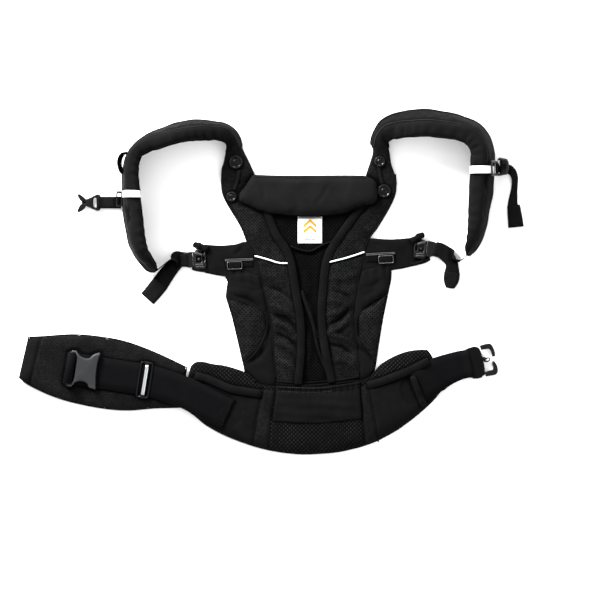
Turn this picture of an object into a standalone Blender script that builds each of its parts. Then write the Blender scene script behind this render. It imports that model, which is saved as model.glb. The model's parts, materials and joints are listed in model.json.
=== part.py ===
"""A soft baby carrier, unbuckled and laid flat on a table with its front up.

Metres, +Z up, the table at z = 0. X runs along the waist belt and Y runs from the belt up to the
shoulder straps. Outlines below are in millimetres, and MM turns them into metres.
"""

from math import cos, pi, radians, sin

import bmesh
import bpy
from mathutils import Matrix, Vector
from mathutils.geometry import tessellate_polygon

MM = 0.001
GAP = 0.3  # between two pieces that touch
WALL = 2.0  # cover fabric with its lining

BELT_HEIGHT = 12.0
FACING = 1.7  # the sewn top layer of the belt and of the lumbar pad
LUMBAR_HEIGHT = 10.3
WEBBING_THICK = 1.5
WAIST_WEBBING = 50.0
STRAP_WEBBING = 25.0
PANEL_HEIGHT = 5.0
LAYER = 1.0  # thin panels that lie on the front panel
SIDE_PAD_HEIGHT = 10.0
WING_HEIGHT = 4.0
YOKE_HEIGHT = 6.0
HEAD_LOW = 6.7
HEAD_HIGH = 19.3
STRAP_LOW = 2.8
STRAP_THICK = 18.0
STRAP_CORNER = 5.0
WEBBING_BASE = BELT_HEIGHT + GAP + FACING + GAP  # underside of the waist webbing
WAIST_AXIS_HEIGHT = WEBBING_BASE + WEBBING_THICK + 0.4

# Where a shoulder strap's hinge line starts, at the side buckle, and where the waist ends fold.
SWING_LEFT = (-141.0, 34.0, 11.0)
SWING_RIGHT = (264.0, 52.0, 11.0)
FOLD_LEFT = (-133.5, -136.0)
FOLD_RIGHT = (256.8, -118.0)
HEAD_FOLD = (61.0, 169.6, 13.0)

BELT_OUTLINE = [
    (-129.5, -137), (-118, -128), (-92, -132), (-72, -135), (-40, -146), (-15, -164), (52, -166),
    (150, -156), (174, -133), (189, -123), (212, -113), (235, -109), (249, -109), (255.8, -118),
    (271.8, -175), (259, -190), (241, -207), (220, -224), (197, -240), (159, -259), (116, -271),
    (84, -275), (41, -276), (-12, -268), (-66, -250), (-103, -231), (-123, -215), (-140, -203),
]
POCKET_PANEL = [(9, -177), (71, -178), (133, -172), (137, -219), (71, -225), (4, -223)]
LUMBAR_OUTLINE = [
    (-389, -88), (-366, -87), (-317, -84), (-278, -87), (-238, -94), (-202, -106), (-165, -122),
    (-134.6, -137), (-144.6, -201.6), (-189, -203), (-226, -206), (-263, -204), (-312, -195),
    (-349, -184), (-388, -166), (-404, -154),
]
SEAM_LEFT = [(-40, 64), (-27, 42), (-16, -3), (-10, -29), (-1, -67), (2, -101), (6, -154)]
SEAM_RIGHT = [(158, 70), (149, 46), (132, -40), (131, -67), (136, -101), (142, -147)]
PANEL_TOP_LEFT = [(-80, 171), (-81, 158), (-77, 135), (-49, 86)]
PANEL_TOP_RIGHT = [(169, 84), (192, 123), (199, 141), (200, 153), (199, 167)]
TAPE_LEFT = [(-1, 102), (9, 74), (31, 46), (33, 11), (41, -29), (47, -61), (47, -125), (39, -157)]
TAPE_RIGHT = [(127, 93), (110, 72), (92, 51), (86, 29), (82, -13), (78, -53), (84, -104), (97, -153)]
SIDE_LEFT = [
    (-69, 10), (-71, -6), (-73, -24), (-70, -34), (-62, -61), (-43, -143), (-14.5, -163.2),
    (5.5, -163.8), (5.5, -154), (1.5, -101), (-1.5, -67), (-10.5, -29), (-16.5, -3), (-19.8, 10),
]
SIDE_RIGHT = [
    (192, 18.8), (191, 3), (188, -12), (178, -61), (166, -139), (150, -155.2), (142.6, -156),
    (142.6, -147), (136.6, -101), (131.6, -67), (132.6, -40), (144, 18.8),
]
WING_LEFT = [
    (-102.5, 59), (-81, 58), (-58, 60), (-40.8, 63.5), (-27.6, 42), (-20.2, 10.6), (-69, 10.6),
    (-87, 11), (-102.5, 14.5),
]
WING_RIGHT = [
    (158.8, 69.6), (190, 68), (209, 69), (222, 70.5), (222, 23.5), (211, 21), (192, 19.4),
    (144.6, 19.4), (149.7, 46),
]
YOKE_LEFT = [
    (-80, 171.6), (-77, 189), (-74, 202), (-70.5, 214), (-73.2, 226.5), (-65.6, 248.5), (-63, 246),
    (-54, 237), (-51, 229), (-42, 207), (-36, 193), (-29, 171.6),
]
YOKE_RIGHT = [
    (199, 168), (193, 182), (190, 202), (189, 211), (183.5, 219), (184.5, 229), (189.2, 230.5),
    (177, 260), (172, 253), (158, 225), (164, 208), (156, 185), (152, 170),
]
HEAD_OUTLINE = [
    (-28, 170), (-52, 135), (-23, 117), (0, 110), (59, 106), (110, 109), (141, 119), (167, 127),
    (167, 161), (150, 168.4),
]
# Each station: outer edge at the foot, inner edge at the top, and how high the strap stands there.
STRAP_LEFT = [
    (-67.9, 249.8, -75.3, 227.3, 34), (-95, 255, -100, 229.5, 48), (-121, 258, -130, 229, 60),
    (-150, 253, -155, 224, 66), (-181, 242, -181, 216, 66), (-205, 231, -196, 210, 66),
    (-224, 218, -207, 202, 66), (-238, 196, -212.5, 189, 66), (-242.5, 172, -214.5, 172, 66),
    (-236.2, 112, -208.2, 112, 66), (-227, 66, -203.5, 66, 66), (-219, 46, -198, 49, 64),
    (-207, 31, -191, 38, 52), (-193, 22, -183, 29, 34),
]
STRAP_RIGHT = [
    (178.5, 261.6, 191.2, 230.4, 34), (198, 269, 203, 232.5, 48), (220, 274, 219, 235, 60),
    (246, 276, 246, 236, 66), (279, 271, 272, 233, 66), (307, 263, 296, 230, 66),
    (333, 251, 312, 223, 66), (349, 229, 319.5, 212, 66), (355.5, 203, 321.5, 203, 66),
    (352.5, 143, 318.5, 143, 66), (347, 118, 317.5, 115, 66), (339, 80, 316.5, 83, 64),
    (330, 58, 314, 65, 52), (318, 47, 312, 53, 34),
]
STRAIGHT = 8  # the station where the straight stretch starts, which a chest strap slides on

DARK = (0.018, 0.018, 0.019)
LOOKS = {
    "shell_fabric": ((0.022, 0.022, 0.023), 0.85, 0.0),
    "mesh_fabric": ((0.016, 0.016, 0.017), 0.9, 0.0),
    "webbing": ((0.02, 0.02, 0.021), 0.7, 0.0),
    "foam": ((0.3, 0.3, 0.31), 0.95, 0.0),
    "black_plastic": (DARK, 0.4, 0.0),
    "gray_plastic": ((0.075, 0.078, 0.083), 0.4, 0.0),
    "dark_metal": ((0.35, 0.36, 0.37), 0.28, 1.0),
    "reflective_tape": ((0.85, 0.86, 0.86), 0.45, 0.0),
    "label_fabric": ((0.88, 0.87, 0.84), 0.6, 0.0),
}


def clear_scene():
    for found in list(bpy.data.objects):
        bpy.data.objects.remove(found)


def make_material(name):
    colour, roughness, metallic = LOOKS[name]
    made = bpy.data.materials.new(name)
    made.use_nodes = True
    shader = made.node_tree.nodes["Principled BSDF"]
    shader.inputs["Base Color"].default_value = (*colour, 1.0)
    shader.inputs["Roughness"].default_value = roughness
    shader.inputs["Metallic"].default_value = metallic
    return made


def pivot(name, point, parent=None):
    """An empty on a joint's axis. The point is in millimetres in the world."""
    empty = bpy.data.objects.new(name, None)
    bpy.context.scene.collection.objects.link(empty)
    start = parent["world"] if parent else (0.0, 0.0, 0.0)
    empty["world"] = tuple(point)
    empty.location = (Vector(point) - Vector(start)) * MM
    empty.parent = parent
    return empty


def add_piece(name, bm, look, on=None, frame=None, smooth=False):
    """One object from a bmesh in millimetres, whose origin is on its pivot."""
    bm.transform(frame or Matrix())
    origin = Vector(on["world"]) if on else Vector((0, 0, 0))
    bm.transform(Matrix.Scale(MM, 4) @ Matrix.Translation(-origin))
    bmesh.ops.recalc_face_normals(bm, faces=bm.faces)
    mesh = bpy.data.meshes.new(name)
    bm.to_mesh(mesh)
    bm.free()
    if smooth:
        mesh.shade_smooth()
        mesh.set_sharp_from_angle(angle=radians(40))
    made = bpy.data.objects.new(name, mesh)
    mesh.materials.append(MATERIALS[look])
    bpy.context.scene.collection.objects.link(made)
    made.parent = on
    return made


def combine(target, tool_mesh, operation, on=None, frame=None):
    """Cuts a shape from a piece, or joins one to it."""
    tool = add_piece(f"{target.name}_tool", tool_mesh, "foam", on, frame)
    tool.hide_render = True
    tool.display_type = "WIRE"
    step = target.modifiers.new(operation.title(), "BOOLEAN")
    step.operation = operation
    step.object = tool


def place(x, y, z=0.0, turn=0.0):
    return Matrix.Translation((x, y, z)) @ Matrix.Rotation(radians(turn), 4, "Z")


def skin(bm, rings):
    """Side faces between rings of vertices."""
    for ring, following in zip(rings, rings[1:]):
        count = len(ring)
        for i in range(count):
            j = (i + 1) % count
            bm.faces.new((ring[i], ring[j], following[j], following[i]))


def prism(low, high, *loops):
    """A flat shape between two heights. Loops after the first are holes through it."""
    bm = bmesh.new()
    flat = [[Vector((x, y, 0)) for x, y in loop] for loop in loops]
    ends = []
    for height in (low, high):
        ends.append([bm.verts.new((p.x, p.y, height)) for loop in flat for p in loop])
    for triangle in tessellate_polygon(flat):
        for end in ends:
            bm.faces.new([end[i] for i in triangle])
    start = 0
    for loop in loops:
        stop = start + len(loop)
        skin(bm, [end[start:stop] for end in ends])
        start = stop
    return bm


def block(x0, x1, y0, y1, low, high):
    return prism(low, high, [(x0, y0), (x1, y0), (x1, y1), (x0, y1)])


def rectangle(x0, x1, y0, y1):
    return [(x0, y0), (x1, y0), (x1, y1), (x0, y1)]


def circle(x, y, radius, count=16):
    turns = [2 * pi * i / count for i in range(count)]
    return [(x + radius * cos(t), y + radius * sin(t)) for t in turns]


def inset(outline, distance):
    """The same closed outline, moved inwards."""
    after = outline[1:] + outline[:1]
    before = outline[-1:] + outline[:-1]
    area = sum(a[0] * b[1] - b[0] * a[1] for a, b in zip(outline, after))
    distance = distance if area > 0 else -distance
    moved = []
    for p, here, n in zip(before, outline, after):
        come = (Vector(here) - Vector(p)).normalized()
        go = (Vector(n) - Vector(here)).normalized()
        side = Vector((-come.y - go.y, come.x + go.x)).normalized()
        reach = distance / max(side.dot(Vector((-come.y, come.x))), 0.4)
        moved.append(tuple(Vector(here) + side * reach))
    return moved


def tray(outline, low, high):
    """A cover's back and side walls, open at the top, where the facing closes it."""
    bm = bmesh.new()
    inner = inset(outline, WALL)
    loops = [(outline, low), (outline, high), (inner, high), (inner, low + WALL)]
    rings = [[bm.verts.new((x, y, z)) for x, y in loop] for loop, z in loops]
    skin(bm, rings)
    for ring, loop in ((rings[0], outline), (rings[3], inner)):
        for triangle in tessellate_polygon([[Vector((x, y, 0)) for x, y in loop]]):
            bm.faces.new([ring[i] for i in triangle])
    return bm


def refine(points, steps):
    """Points along a smooth curve through the given ones."""
    found = []
    for i in range(len(points) - 1):
        p = [Vector(points[max(min(i + k, len(points) - 1), 0)]) for k in (-1, 0, 1, 2)]
        for step in range(steps):
            t = step / steps
            found.append(
                0.5 * (2 * p[1] + (p[2] - p[0]) * t + (2 * p[0] - 5 * p[1] + 4 * p[2] - p[3]) * t**2
                       + (3 * p[1] - p[0] - 3 * p[2] + p[3]) * t**3)
            )
    found.append(Vector(points[-1]))
    return found


def ribbon(path, widths, thick=WEBBING_THICK):
    """Webbing along a path in space. It may fold back over itself."""
    bm = bmesh.new()
    path = [Vector(p) for p in path]
    if not isinstance(widths, (list, tuple)):
        widths = [widths] * len(path)
    across = None
    rings = []
    for i, here in enumerate(path):
        along = (path[min(i + 1, len(path) - 1)] - path[max(i - 1, 0)]).normalized()
        if across is None:
            across = along.cross(Vector((0, 0, 1)))
        across = (across - along * across.dot(along)).normalized()
        up = across.cross(along)
        corners = ((-1, -1), (1, -1), (1, 1), (-1, 1))
        half = widths[i] / 2
        rings.append([bm.verts.new(here + across * a * half + up * b * thick / 2) for a, b in corners])
    skin(bm, rings)
    bm.faces.new(rings[0])
    bm.faces.new(rings[-1])
    return bm


def strap_ring(station, grow):
    """The eight corners of a shoulder strap's section, moved in or out by grow."""
    outer = Vector(station[0:2])
    inner = Vector(station[2:4])
    high = station[4] + grow
    low = STRAP_LOW - grow
    across = (inner - outer).normalized()
    thick = min(STRAP_THICK, 0.62 * (inner - outer).length)
    foot = outer + across * thick / 2
    head = inner - across * thick / 2
    half = thick / 2 + grow
    corner = min(STRAP_CORNER, half - 0.8)
    sides = ((-half + corner, low), (half - corner, low), (half, low + corner), (half, high - corner),
             (half - corner, high), (-half + corner, high), (-half, high - corner), (-half, low + corner))
    ring = []
    for side, z in sides:
        middle = foot.lerp(head, (z - STRAP_LOW) / (station[4] - STRAP_LOW))
        ring.append((*(middle + across * side), z))
    return ring


def strap_rings(stations, grow):
    """The rings of a whole strap. The stretch after STRAIGHT is left straight."""
    before = refine(stations[: STRAIGHT + 1], 2)
    after = refine(stations[STRAIGHT + 1 :], 2)
    return [strap_ring(station, grow) for station in before + after]


def loft(rings, holes=()):
    """A solid through rings of points. With holes, it is hollow and open at its first ring."""
    bm = bmesh.new()
    outer = [[bm.verts.new(p) for p in ring] for ring in rings]
    skin(bm, outer)
    bm.faces.new(outer[-1])
    if not holes:
        bm.faces.new(outer[0])
        return bm
    inner = [[bm.verts.new(p) for p in ring] for ring in holes]
    skin(bm, inner)
    skin(bm, [outer[0], inner[0]])
    bm.faces.new(inner[-1])
    return bm


def sleeve(outer, inner):
    """A short tube between two rings outside and two inside."""
    bm = bmesh.new()
    rings = [[bm.verts.new(p) for p in ring] for ring in (*outer, *reversed(inner))]
    skin(bm, rings + rings[:1])
    return bm


def build_belt():
    add_piece("belt_cover", tray(BELT_OUTLINE, 0, BELT_HEIGHT), "shell_fabric")
    core = inset(BELT_OUTLINE, WALL + GAP)
    add_piece("belt_foam", prism(WALL + GAP, BELT_HEIGHT - GAP, core), "foam")
    low = BELT_HEIGHT + GAP
    add_piece("belt_facing", prism(low, low + FACING, BELT_OUTLINE), "mesh_fabric")
    low = WEBBING_BASE
    add_piece("belt_pocket_panel", prism(low, low + LAYER, POCKET_PANEL), "shell_fabric")
    z = low + WEBBING_THICK / 2
    anchor = [(-130.8, -180.8, z), (-112, -190.5, z), (-71, -211, z)]
    add_piece("waist_webbing_anchor", ribbon(anchor, WAIST_WEBBING), "webbing")


def build_panel():
    bottom = [(6, -163.8), (52, -165.2), (142, -156.4)]
    outline = PANEL_TOP_LEFT + SEAM_LEFT + bottom + SEAM_RIGHT[::-1] + PANEL_TOP_RIGHT
    add_piece("front_panel_base", prism(0, PANEL_HEIGHT, outline), "shell_fabric")
    low = PANEL_HEIGHT + GAP
    shift = 2.0
    left = [(x + shift, y) for x, y in SEAM_LEFT] + [(x - shift, y) for x, y in TAPE_LEFT[::-1]]
    right = [(x + shift, y) for x, y in TAPE_RIGHT] + [(x - shift, y) for x, y in SEAM_RIGHT[::-1]]
    middle = [(x + shift, y) for x, y in TAPE_LEFT] + [(x - shift, y) for x, y in TAPE_RIGHT[::-1]]
    for name, shape in (("front_mesh_left", left), ("front_mesh_right", right), ("center_mesh", middle)):
        add_piece(name, prism(low, low + LAYER, shape), "mesh_fabric")
    low += LAYER + GAP
    label = rectangle(42, 81, 61, 104)
    add_piece("woven_label", prism(low, low + LAYER, label), "label_fabric")
    for name, shape in (("side_panel_left", SIDE_LEFT), ("side_panel_right", SIDE_RIGHT)):
        add_piece(name, prism(0, SIDE_PAD_HEIGHT, shape), "mesh_fabric")
    for name, shape in (("wing_left", WING_LEFT), ("wing_right", WING_RIGHT)):
        add_piece(name, prism(0, WING_HEIGHT, shape), "shell_fabric")
    for name, shape in (("yoke_left", YOKE_LEFT), ("yoke_right", YOKE_RIGHT)):
        add_piece(name, prism(0, YOKE_HEIGHT, shape), "shell_fabric")


def build_buttons():
    """Snap buttons for the head support, turned with a raised rim."""
    places = {
        "button_upper_left": (-57, 191, YOKE_HEIGHT, 10.5),
        "button_lower_left": (-64, 136, PANEL_HEIGHT, 8),
        "button_upper_right": (173, 192, YOKE_HEIGHT, 8.5),
        "button_lower_right": (180, 145, PANEL_HEIGHT, 10.5),
    }
    for name, (x, y, z, radius) in places.items():
        low = z + GAP
        rims = ((radius, 0), (radius, 2.2), (radius - 1.2, 3.2), (radius - 2.4, 3.2), (radius - 3.4, 2.0))
        rings = [[(*p, low + rise) for p in circle(x, y, r)] for r, rise in rims]
        add_piece(name, loft(rings), "black_plastic", smooth=True)


def build_seat_adjuster(side, x0, x1, y, slider_x, turn):
    """A webbing track on the wing and the slider that sets how wide the seat is."""
    low = WING_HEIGHT + GAP
    middle = ((x0 + x1) / 2, y)
    half = (x1 - x0) / 2
    track = block(-half, half, -6, 6, low, low + LAYER)
    add_piece(f"seat_track_{side}", track, "webbing", frame=place(*middle, 0, turn))
    low += LAYER + GAP
    at = pivot(f"seat_slider_{side}_axis", (slider_x, y, low))
    corners = [(-12, -3), (-9.5, -5.5), (9.5, -5.5), (12, -3), (12, 3), (9.5, 5.5), (-9.5, 5.5), (-12, 3)]
    slots = [rectangle(-8, -4.5, -3.4, 3.4), rectangle(4.5, 8, -3.4, 3.4)]
    slider = prism(low, low + 2.4, corners, *slots)
    add_piece(f"seat_slider_{side}", slider, "dark_metal", at, place(slider_x, y, 0, turn))


def build_side_buckle(side, x, y, turn):
    """A side-release buckle, closed. Its frame has +X out along the webbing."""
    frame = place(x, y, 5.0, turn)
    socket_line = [(-21, -15), (-18, -17), (-11, -17), (-6.5, -15.4), (-3, -17), (-0.2, -17), (-0.2, 17),
                   (-3, 17), (-6.5, 15.4), (-11, 17), (-18, 17), (-21, 15)]
    bar_slot = rectangle(-18, -15, -13, 13)
    socket = add_piece(f"side_buckle_socket_{side}", prism(-4.5, 4.5, socket_line, bar_slot),
                       "black_plastic", frame=frame)
    combine(socket, block(-13, 2, -12.5, 12.5, -2.5, 2.5), "DIFFERENCE", frame=frame)
    combine(socket, block(-10.6, -4.2, -20, 20, -2.45, 2.45), "DIFFERENCE", frame=frame)
    tongue_line = [(0.3, -2.4), (-12, -2.4), (-12, 2.4), (0.3, 2.4), (0.3, 14), (14, 14), (14, -14),
                   (0.3, -14)]
    slots = [rectangle(3.4, 5.8, -12.6, 12.6), rectangle(8.4, 11.2, -12.6, 12.6)]
    add_piece(f"side_buckle_tongue_{side}", prism(-1.9, 1.9, tongue_line, *slots), "black_plastic",
              frame=frame)
    prong_line = [(-0.2, 6), (-10.4, 6), (-10.4, 9), (-9, 14.4), (-4.8, 14.4), (-4.8, 9.2), (-0.2, 9.2)]
    for name, sign in (("front", 1), ("back", -1)):
        line = [(px, py * sign) for px, py in prong_line]
        middle = frame @ Vector((-5, 10 * sign, 0))
        at = pivot(f"side_prong_{name}_{side}_axis", middle)
        add_piece(f"side_buckle_prong_{name}_{side}", prism(-1.8, 1.8, line), "black_plastic", at, frame)


def build_head_support():
    at = pivot("head_support_axis", HEAD_FOLD)
    cover = add_piece("head_support_cover", prism(HEAD_LOW, HEAD_HIGH, HEAD_OUTLINE), "shell_fabric", at)
    hollow = []
    for x, y in inset(HEAD_OUTLINE, WALL):
        hollow.append((x, y + 8 if y > 155 else y))
    cutter = prism(HEAD_LOW + WALL, HEAD_HIGH - WALL, hollow)
    combine(cover, cutter, "DIFFERENCE", at)
    core = inset(HEAD_OUTLINE, WALL + GAP)
    low = HEAD_LOW + WALL + GAP
    add_piece("head_support_foam", prism(low, HEAD_HIGH - WALL - GAP, core), "foam", at)


def build_shoulder_strap(side, stations, hinge, webbing_path, widths):
    """A padded strap that stands on its edge, and the webbing that comes out of its lower end."""
    at = pivot(f"strap_{side}_axis", hinge)
    cover = loft(strap_rings(stations, 0), strap_rings(stations, -WALL))
    add_piece(f"strap_cover_{side}", cover, "mesh_fabric", at)
    add_piece(f"strap_foam_{side}", loft(strap_rings(stations, -WALL - GAP)), "foam", at)
    add_piece(f"strap_webbing_{side}", ribbon(webbing_path, widths, 1.4), "webbing", at)
    return at


def band_station(stations, y):
    """The strap's section at a height on its straight stretch."""
    upper, lower = stations[STRAIGHT], stations[STRAIGHT + 1]
    part = (y - upper[1]) / (lower[1] - upper[1])
    return [a + (b - a) * part for a, b in zip(upper, lower)]


def chest_band(stations, y0, y1):
    """The band of reflective tape round a strap, which a chest strap slides on."""
    ends = [band_station(stations, y) for y in (y0, y1)]
    return sleeve([strap_ring(end, 1.9) for end in ends], [strap_ring(end, 0.7) for end in ends])


def build_chest_left(on):
    middle = band_station(STRAP_LEFT, 139.5)
    at = pivot("chest_left_axis", (middle[0], 139.5, 4.0), on)
    add_piece("chest_band_left", chest_band(STRAP_LEFT, 145, 134), "reflective_tape", at)
    path = [(-242.4, 126.5, 2.4), (-252, 126.5, 2.4), (-274.2, 126.5, 3.4)]
    add_piece("chest_webbing_left", ribbon(path, 20, 1.4), "webbing", at)
    frame = place(-278, 126.5, 4.0, 180)
    body = [(-3, -13.5), (7, -13.5), (13, -9), (18, -7), (18, 7), (13, 9), (7, 13.5), (-3, 13.5)]
    window = [(0, -10.5), (5, -8.5), (7, -4), (7, 4), (5, 8.5), (0, 10.5)]
    add_piece("chest_buckle_male", prism(-2.5, 2.5, body, window), "black_plastic", at, frame)
    prong = [(18.4, 2.2), (18.4, 6.8), (23, 8), (31, 13.5), (29, 8), (26, 2.2)]
    for name, sign in (("upper", -1), ("lower", 1)):
        line = [(x, y * sign) for x, y in prong]
        spot = frame @ Vector((24, 6 * sign, 0))
        tip = pivot(f"chest_prong_{name}_axis", spot, at)
        add_piece(f"chest_prong_{name}", prism(-2, 2, line), "black_plastic", tip, frame)


def build_chest_right(on):
    middle = band_station(STRAP_RIGHT, 178)
    at = pivot("chest_right_axis", (middle[0], 178, 4.0), on)
    add_piece("chest_band_right", chest_band(STRAP_RIGHT, 184, 172), "reflective_tape", at)
    frame = place(369.5, 183.5, 10.5, -8)
    line = [(-8, -12), (-5, -14.5), (1, -12.6), (8, -14), (8, 14), (1, 12.6), (-5, 14.5), (-8, 12)]
    body = add_piece("chest_buckle_female", prism(-6, 6, line), "black_plastic", at, frame)
    combine(body, block(-4, 10, -10, 10, -3, 3), "DIFFERENCE", at, frame)
    path = refine([(358.8, 178, 2.4), (370, 179.5, 2.4), (380, 177, 2.4), (386, 168, 2.2), (388, 155, 2),
                   (387, 141, 1.8), (386, 127, 1.6)], 2)
    hem = [(387, 119.5, 1.6), (387.4, 118.5, 1.6), (390.5, 86, 1.6)]
    widths = [16] * len(path) + [16, 26, 26]
    add_piece("chest_webbing_right", ribbon(path + hem, widths, 1.6), "webbing", at)


def build_waist_left():
    """The waist webbing's left end with the tri-glide, the large socket and the lumbar pad."""
    fold = pivot("waist_left_axis", (*FOLD_LEFT, WAIST_AXIS_HEIGHT))
    pad = pivot("lumbar_pad_axis", (-240, -150, LUMBAR_HEIGHT / 2), fold)
    add_piece("lumbar_cover", tray(LUMBAR_OUTLINE, 0, LUMBAR_HEIGHT), "mesh_fabric", pad)
    core = inset(LUMBAR_OUTLINE, WALL + GAP)
    add_piece("lumbar_foam", prism(WALL + GAP, LUMBAR_HEIGHT - GAP, core), "foam", pad)
    low = LUMBAR_HEIGHT + GAP
    add_piece("lumbar_facing", prism(low, low + FACING - 0.2, LUMBAR_OUTLINE), "mesh_fabric", pad)

    turn = -9.0
    flat = WEBBING_BASE + WEBBING_THICK / 2
    loop = 6.2
    bar = Vector((-322, -138, flat + loop))
    along = Vector((cos(radians(turn)), sin(radians(turn)), 0))
    turns = [radians(-35 + 29.5 * i) for i in range(11)]
    path = [bar + along * loop * cos(t) + Vector((0, 0, loop * sin(t))) for t in turns]
    path += [bar + along * far - Vector((0, 0, loop)) for far in (12, 70, 126)]
    path += [(-172, -165.4, flat), (-144.2, -174.6, flat)]
    add_piece("waist_webbing_left", ribbon(path, WAIST_WEBBING), "webbing", fold)

    glide = place(-202, -157, flat, turn)
    at = pivot("triglide_axis", (-202, -157, flat), fold)
    outline = [(-7, -27), (-5, -29), (5, -29), (7, -27), (7, 27), (5, 29), (-5, 29), (-7, 27)]
    ring = add_piece("waist_triglide", prism(-2.6, 2.6, outline), "dark_metal", at, glide)
    slot = WEBBING_THICK / 2 + GAP
    cuts = ((-8, 8, 25.6, -slot, slot), (-2.4, 2.4, 25, 0, 4), (-8, -2, 24.4, -4, 0.2), (2, 8, 24.4, -4, 0.2))
    for x0, x1, half, low, high in cuts:
        combine(ring, block(x0, x1, -half, half, low, high), "DIFFERENCE", at, glide)

    frame = Matrix.Translation(bar) @ Matrix.Rotation(radians(turn), 4, "Z")
    at = pivot("waist_female_axis", bar, fold)
    plate = [(7.4, -28), (13, -28), (20, -19), (31, -18.5), (39, -27), (45, -27),
             (45, 27), (39, 27), (31, 18.5), (20, 19), (13, 28), (7.4, 28)]
    socket = add_piece("waist_buckle_female", prism(-5, 5, plate), "gray_plastic", at, frame)
    arms = [(-3, -28.6), (9, -28.6), (9, 28.6), (-3, 28.6)]
    opening = rectangle(2.6, 7.4, -25.7, 25.7)
    combine(socket, prism(-2.6, 2.6, arms, opening), "UNION", at, frame)
    hollow = [(17, -15.5), (31, -15.5), (40, -24), (47, -24), (47, 24), (40, 24), (31, 15.5), (17, 15.5)]
    combine(socket, prism(-2.9, 2.9, hollow), "DIFFERENCE", at, frame)


def build_waist_right():
    """The waist webbing's right end with the large buckle's open frame and its two prongs."""
    fold = pivot("waist_right_axis", (*FOLD_RIGHT, WAIST_AXIS_HEIGHT))
    frame = place(324, -129, 5.6, 12)
    path = [(266.6, -146.6, 5.6), (288, -138, 5.6), (308.8, -132.3, 5.6)]
    add_piece("waist_webbing_right", ribbon(path, WAIST_WEBBING), "webbing", fold)
    body = [(-13, -27), (12, -27), (12, -5.5), (33, -4.5), (33, 4.5), (12, 5.5), (12, 27), (-13, 27)]
    slots = [rectangle(-9, -5, -25.6, 25.6), rectangle(3, 7, -25.6, 25.6), circle(26, 0, 1.8, 10)]
    add_piece("waist_buckle_male", prism(-3.2, 3.2, body, *slots), "black_plastic", fold, frame)
    prong = [(12.4, 21), (26, 20), (28.5, 9), (35, 10), (36.5, 14), (33, 22), (27, 27), (12.4, 27)]
    for name, sign in (("upper", 1), ("lower", -1)):
        line = [(x, y * sign) for x, y in prong]
        at = pivot(f"waist_prong_{name}_axis", frame @ Vector((24, 20 * sign, 0)), fold)
        add_piece(f"waist_prong_{name}", prism(-2.6, 2.6, line), "black_plastic", at, frame)


def left_webbing_path():
    """From under the strap's tip to the side buckle, folded back, and out along the free tail."""
    under = [(-184, 21.5, 1.2), (-160, 28.6, 1.2), (-146, 32.4, 1.2), (-144.6, 32.8, 1.8),
             (-144.4, 32.8, 2.8), (-145.6, 32.5, 3.6)]
    tail = refine([(-149, 31, 3.9), (-156, 25, 3.9), (-166, 13, 3.4), (-181, -6, 1.6)], 2)
    hem = [(-181.6, -7, 1.5), (-198, -28, 1.2)]
    widths = [STRAP_WEBBING] * (len(under) + len(tail)) + [28, 28]
    return under + tail + hem, widths


def right_webbing_path():
    under = [(314, 39.5, 1.2), (290, 45.5, 1.2), (270.5, 51, 1.2), (268.6, 51.6, 1.8),
             (268.2, 51.7, 2.8), (269.6, 51.2, 3.6)]
    tail = refine([(273.5, 49, 3.9), (280, 40, 3.9), (285, 25, 3.4), (286, 12, 1.6)], 2)
    hem = [(286, 11, 1.5), (286, -11, 1.2)]
    widths = [STRAP_WEBBING] * (len(under) + len(tail)) + [27, 27]
    return under + tail + hem, widths


clear_scene()
MATERIALS = {name: make_material(name) for name in LOOKS}
build_belt()
build_panel()
build_buttons()
build_seat_adjuster("left", -75, -28, 29, -59, 2)
build_seat_adjuster("right", 151, 199, 38.5, 183, 3)
build_side_buckle("left", -125.6, 35.8, 185)
build_side_buckle("right", 247.3, 49.5, 10)
build_head_support()
strap_left = build_shoulder_strap("left", STRAP_LEFT, SWING_LEFT, *left_webbing_path())
strap_right = build_shoulder_strap("right", STRAP_RIGHT, SWING_RIGHT, *right_webbing_path())
build_chest_left(strap_left)
build_chest_right(strap_right)
build_waist_left()
build_waist_right()
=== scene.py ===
"""The looks of a soft baby carrier, laid flat on a table: fabric, padding, webbing, buckles and stitching.

Sizes are in millimetres in the frame's own axes, and MM turns them into metres. The lamps, the camera and the
two ends of a blend are given in metres.
"""

import json
from math import cos, degrees, pi, radians, sin

import bmesh
import bpy
import numpy as np
from mathutils import Matrix, Vector, noise
from mathutils.bvhtree import BVHTree
from mathutils.geometry import delaunay_2d_cdt

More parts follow.
